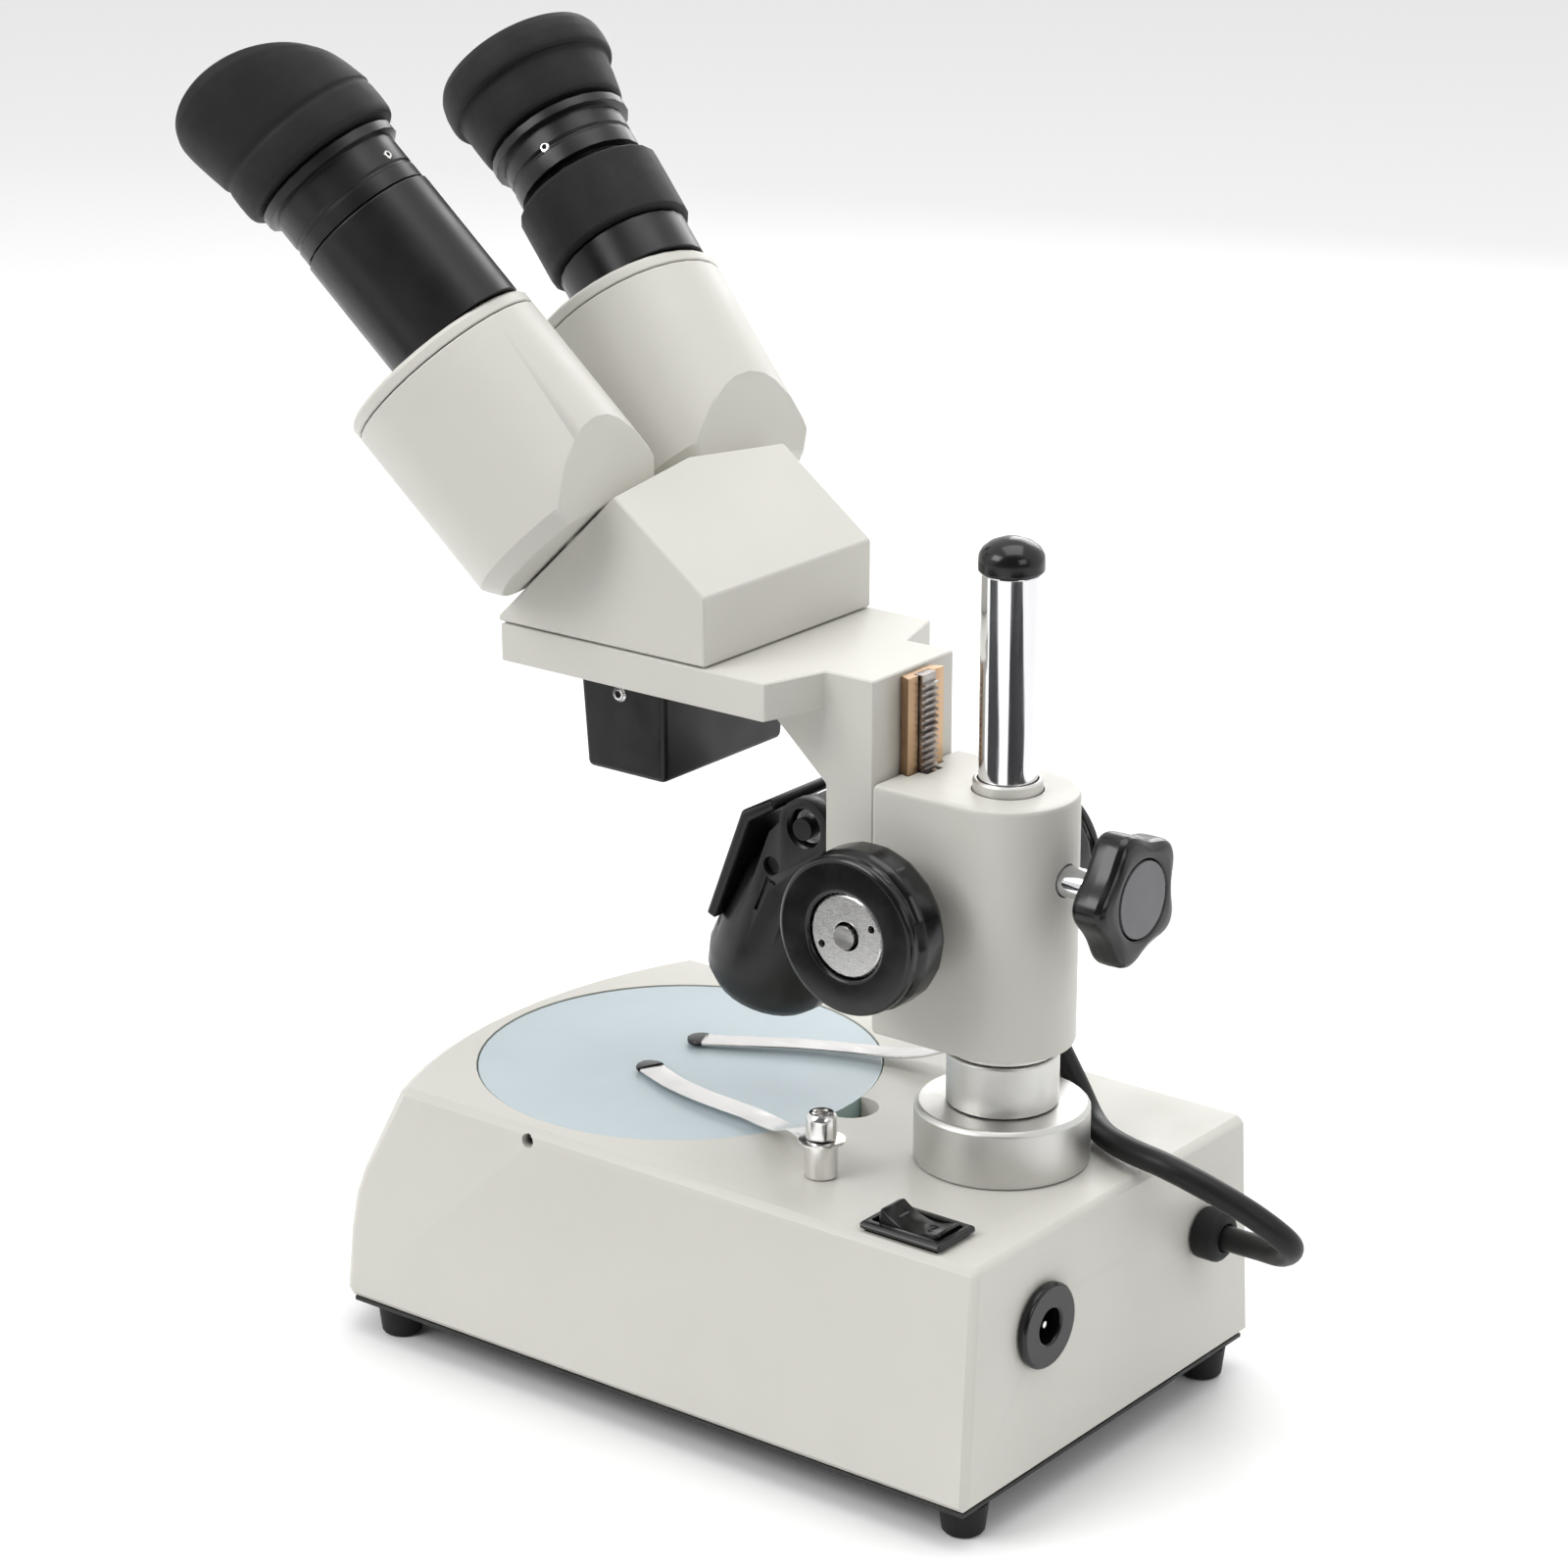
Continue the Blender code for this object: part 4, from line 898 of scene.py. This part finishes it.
def make_focus_knobs(material):
    """Coarse focus knobs: a flat face with a raised front lip, a groove behind it and a stepped body."""
    point, axis = joint_axis("focus_turn")
    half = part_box("focus_knob_right")[1][0] / MM
    for side_name, side in SIDES:
        def grips(angle, r, z):
            if r < 17.0 * MM or z > (half - 3.2) * MM:
                return r, z
            return r - 0.16 * MM * abs(math.sin(9 * angle)) ** 0.7, z

        profile = (
            (9.8, half - 0.4), (10.4, half), (16.9, half), (17.7, half - 0.5), (17.9, half - 1.2),
            (17.9, half - 2.4), (17.3, half - 2.8), (17.1, half - 3.6), (17.8, half - 4.2),
            (18.4, half - 5.2), (18.5, half - 10.8), (17.9, half - 12.0), (16.8, half - 12.5),
            (7.9, half - 12.5), (7.5, half - 12.9), (7.5, 16.6), (3.4, 16.6), (3.4, half - 2.5),
            (9.8, half - 2.5),
        )
        place = frame_on((0.0, point.y, point.z), axis * side)
        spun_piece(
            f"focus_grip_{side_name}", profile, place, material, "focus_drive", "black_plastic",
            f"focus_knob_{side_name}", steps=144, round_by=0.45, wave=grips, degrees=45,
        )


ROCKER_REST = -7.0
ROCKER_DIP = 0.0025


def make_rocker(material, pale):
    """Rocker with a hollowed top and two moulded marks, a bar and a ring."""
    point, _ = joint_axis("rocker_tilt")
    low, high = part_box("switch_rocker")
    half_x = (high[0] - low[0]) / 2
    reach = (high[1] - low[1]) / 2 * 0.985
    tilt = Matrix.Rotation(math.radians(ROCKER_REST), 4, "X")
    place = at(point.x, point.y, point.z) @ tilt
    crest = high[2] - point.z + 0.0007
    bm = bmesh.new()
    rows = []
    count = 25
    for i in range(count):
        y = -reach + 2 * reach * i / (count - 1)
        top = crest - ROCKER_DIP * (1 - (y / reach) ** 2)
        inset = 0.0005 if i in (0, count - 1) else 0.0
        drop = 0.0006 if i in (0, count - 1) else 0.0
        wide, near, flat = half_x - inset, half_x - 0.0002 - inset, half_x - 0.0008 - inset
        crown, shoulder, rim, root = top - drop, top - 0.0002 - drop, top - 0.0007 - drop, -0.001
        rows.append([
            bm.verts.new((x, y, z)) for x, z in (
                (-wide, root), (-wide, rim), (-near, shoulder), (-flat, crown),
                (flat, crown), (near, shoulder), (wide, rim), (wide, root),
            )
        ])
    for first, second in zip(rows, rows[1:]):
        for k in range(8):
            bm.faces.new((first[k], first[(k + 1) % 8], second[(k + 1) % 8], second[k]))
    bm.faces.new(rows[0][::-1])
    bm.faces.new(rows[-1])
    rocker = mesh_from(bm, "rocker_key", place, 40)
    piece(rocker.name, rocker, material, "rocker", "black_plastic", "switch_rocker")
    marks = bmesh.new()
    for y, ring in ((-reach * 0.52, False), (reach * 0.52, True)):
        top = crest - ROCKER_DIP * (1 - (y / reach) ** 2)
        if ring:
            loop = [(0.0016, -0.0001), (0.0016, 0.00022), (0.0012, 0.00022), (0.0012, -0.0001)]
            part = spun(loop, at(0.0, y, top), 32)
        else:
            part = bmesh.new()
            bmesh.ops.create_cube(part, size=1.0)
            part.transform(at(0.0, y, top + 0.00006) @ Matrix.Diagonal((0.0034, 0.0005, 0.0003, 1.0)))
        mesh = bpy.data.meshes.new("mark")
        part.to_mesh(mesh)
        part.free()
        marks.from_mesh(mesh)
        bpy.data.meshes.remove(mesh)
    mark = mesh_from(marks, "rocker_marks", place, 30)
    piece(mark.name, mark, pale, "rocker", "black_plastic")


def carved(name, node, cutters, material, body, slot):
    """A CAD node's shape with cutters taken out of it, standing for that node."""
    mesh = NODES[node].data.copy()
    mesh.name = name
    work = bpy.data.objects.new(name + "_work", mesh)
    bpy.context.scene.collection.objects.link(work)
    weld = work.modifiers.new("Weld", "WELD")
    weld.merge_threshold = WELD_REACH
    tools = []
    for bm in cutters:
        tool_mesh = bpy.data.meshes.new(name + "_cutter")
        bmesh.ops.recalc_face_normals(bm, faces=bm.faces)
        bm.to_mesh(tool_mesh)
        bm.free()
        tool = bpy.data.objects.new(name + "_cutter", tool_mesh)
        bpy.context.scene.collection.objects.link(tool)
        tools.append(tool)
        cut = work.modifiers.new("Cut", "BOOLEAN")
        cut.operation = "DIFFERENCE"
        cut.object = tool
    flat = work.modifiers.new("Flatten", "DECIMATE")
    flat.decimate_type = "DISSOLVE"
    flat.angle_limit = FLAT_ANGLE
    bevel = work.modifiers.new("Break edges", "BEVEL")
    bevel.width = 0.35 * MM
    bevel.segments = 2
    bevel.limit_method = "ANGLE"
    bevel.angle_limit = BEVEL_ANGLE
    bevel.miter_outer = "MITER_ARC"
    bpy.context.view_layer.update()
    result = bpy.data.meshes.new_from_object(work.evaluated_get(bpy.context.evaluated_depsgraph_get()))
    for spare in (work, *tools):
        bpy.data.objects.remove(spare)
    return piece(name, smooth(result, 35), material, body, slot, node)


def rod_cutter(place, radius, length, steps):
    bm = bmesh.new()
    bmesh.ops.create_cone(
        bm, cap_ends=True, segments=steps, radius1=radius * MM, radius2=radius * MM, depth=length * MM,
        matrix=place,
    )
    return bm


def block_cutter(place, x, y, z):
    bm = bmesh.new()
    bmesh.ops.create_cube(bm, size=1.0, matrix=place @ Matrix.Diagonal((x * MM, y * MM, z * MM, 1.0)))
    return bm


LAMP_LEAN = -21.1


def make_lamp(material, steel):
    """Lamp housing with its open hub, key hole and cooling slots, and the bright pivot inside the hub."""
    pivot, _ = joint_axis("lamp_tilt")
    lean = math.radians(LAMP_LEAN)
    lamp = at(pivot.x, pivot.y, pivot.z) @ Matrix.Rotation(lean, 4, "X")
    sideways = Matrix.Rotation(math.radians(90), 4, "Y")
    cutters = []
    for side in (1, -1):
        cutters.append(rod_cutter(lamp @ at(side * 11.5 * MM, 0, 0) @ sideways, 4.7, 6.0, 48))
        key_hole = lamp @ at(side * 13.0 * MM, -4.6 * MM, -13.2 * MM) @ sideways
        cutters.append(rod_cutter(key_hole, 2.2, 3.6, 32))
        for y, z, length in ((-8.8, -20.0, 7.5), (-4.4, -20.6, 9.0)):
            cutters.append(block_cutter(lamp @ at(side * 14.6 * MM, y * MM, z * MM), 4.4, 0.9, length))
        cutters.append(block_cutter(lamp @ at(side * 14.6 * MM, -3.4 * MM, -16.6 * MM), 4.4, 2.9, 0.9))
    carved("lamp_shell", "lamp_housing", cutters, material, "upper_lamp", "black_plastic")
    for side_name, side in SIDES:
        place = frame_on(pivot + Vector((side * 9.2 * MM, 0, 0)), (side, 0, 0))
        collar = ((2.65, 0.0), (4.3, 0.0), (4.3, 0.9), (3.9, 1.3), (2.65, 1.3))
        spun_piece(
            f"lamp_pivot_{side_name}", collar, place, steel, "focus_arm", "bright_steel", steps=64,
            degrees=35,
        )


def make_socket_pin(steel):
    """Contact pin in the low-voltage inlet."""
    low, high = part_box("dc_socket")
    middle = (Vector(low) + Vector(high)) / 2
    place = frame_on((middle.x, high[1], middle.z), (0, 1, 0))
    pin = ((0.0, -9.0), (1.0, -9.0), (1.0, -2.2), (0.75, -1.6), (0.0, -1.4))
    return spun_piece("dc_pin", pin, place, steel, "base", "bright_steel", steps=32, degrees=35)


# ---------------------------------------------------------------- the CAD nodes' own surfaces

def finish_nodes():
    ivory, anodised, moulding = ivory_paint(), black_anodised(), black_plastic()
    gloss, black_rubber, bright = gloss_plastic(), rubber(), bright_steel()
    soft = rubber("eyecup_rubber", (0.0085, 0.0085, 0.009), 0.16)
    ribbed = rubber("grip_rubber", (0.010, 0.010, 0.0105), 0.55)
    mirror = chrome()
    lens, glass = coated_lens(), frosted_glass()
    pillar = centre("pillar")
    flange = turned_aluminium("turned_flange", pillar, (0, 0, 1), (0.66, 0.655, 0.63), (0.40, 0.46))
    drive = centre("focus_shaft")
    disc = turned_aluminium("turned_disc", drive, (1, 0, 0), (0.80, 0.79, 0.77), (0.24, 0.30))
    sheet = plain("black_sheet", (0.012, 0.012, 0.012), 0.5, 0.0)
    grey = plain("grey_inlay", (0.155, 0.15, 0.16), 0.55, 0.0, 0.05, 0.2)
    board = plain("emitter_board", (0.82, 0.80, 0.70), 0.5)

    for names, material, width, segments in (
        (("base_housing",), ivory, 0.7, 3),
        (("head_casting", "arm_casting", "prism_block"), ivory, 0.6, 3),
        (("pod_housing_right", "pod_housing_left", "pod_cap_right", "pod_cap_left"), ivory, 0.4, 3),
        (("eyepiece_tube_right", "eyepiece_tube_left", "eyepiece_right", "eyepiece_left"),
         anodised, 0.25, 2),
        (("objective_housing", "lamp_bracket", "lamp_housing", "lamp_cover"), moulding, 0.4, 2),
        (("focus_knob_right", "focus_knob_left", "pillar_cap", "dc_socket"), gloss, 0.5, 3),
        (("switch_bezel", "switch_rocker"), gloss, 0.3, 2),
        (("bottom_plate",), sheet, 0.1, 1),
        (("foot_front_right", "foot_front_left", "foot_rear_right", "foot_rear_left", "cable_gland"),
         black_rubber, 0.4, 2),
        (("diopter_ring",), ribbed, 0.6, 3),
        (("pillar", "clamp_screw", "stage_lamp_reflector"), mirror, 0.3, 2),
        (("pillar_flange", "stop_collar", "height_bush"), flange, 0.3, 2),
        (("knob_disc_right", "knob_disc_left"), disc, 0.15, 2),
        (("clip_post_right", "clip_post_left", "clip_screw_right", "clip_screw_left", "clip_spring_right",
          "clip_spring_left", "focus_shaft"), bright, 0.12, 2),
        (("focus_rack",), rack_steel(), 0.0, 1),
        (("dovetail_slide",), brass(), 0.15, 2),
        (("stage_plate",), glass, 0.35, 2),
        (("objective_lens_right", "objective_lens_left", "eye_lens_right", "eye_lens_left", "lamp_lens",
          "erecting_prism_right", "erecting_prism_left"), lens, 0.0, 1),
        (("stage_lamp_board",), board, 0.0, 1),
        (("clamp_knob_disc",), grey, 0.12, 2),
    ):
        for name in names:
            refine(name, width, material, segments)
    marks = plain("mark_grey", (0.05, 0.05, 0.052), 0.4)
    return {
        "moulding": moulding, "marks": marks, "soft": soft, "bright": bright, "dark": sheet, "gloss": gloss,
        "lead": rubber("lead_sheath", (0.009, 0.009, 0.0095), 0.08, 0.42),
    }


# ---------------------------------------------------------------- the whole

def main():
    make_stage()
    made = finish_nodes()
    make_lead(made["lead"])
    make_eyecups(made["soft"])
    make_set_screws(made["bright"], made["dark"])
    make_star_knob(made["gloss"])
    make_clip_screws(made["bright"])
    make_clip_blades(made["bright"], made["gloss"])
    make_focus_knobs(made["gloss"])
    make_rocker(made["gloss"], made["marks"])
    make_lamp(made["moulding"], made["bright"])
    make_socket_pin(made["bright"])


main()
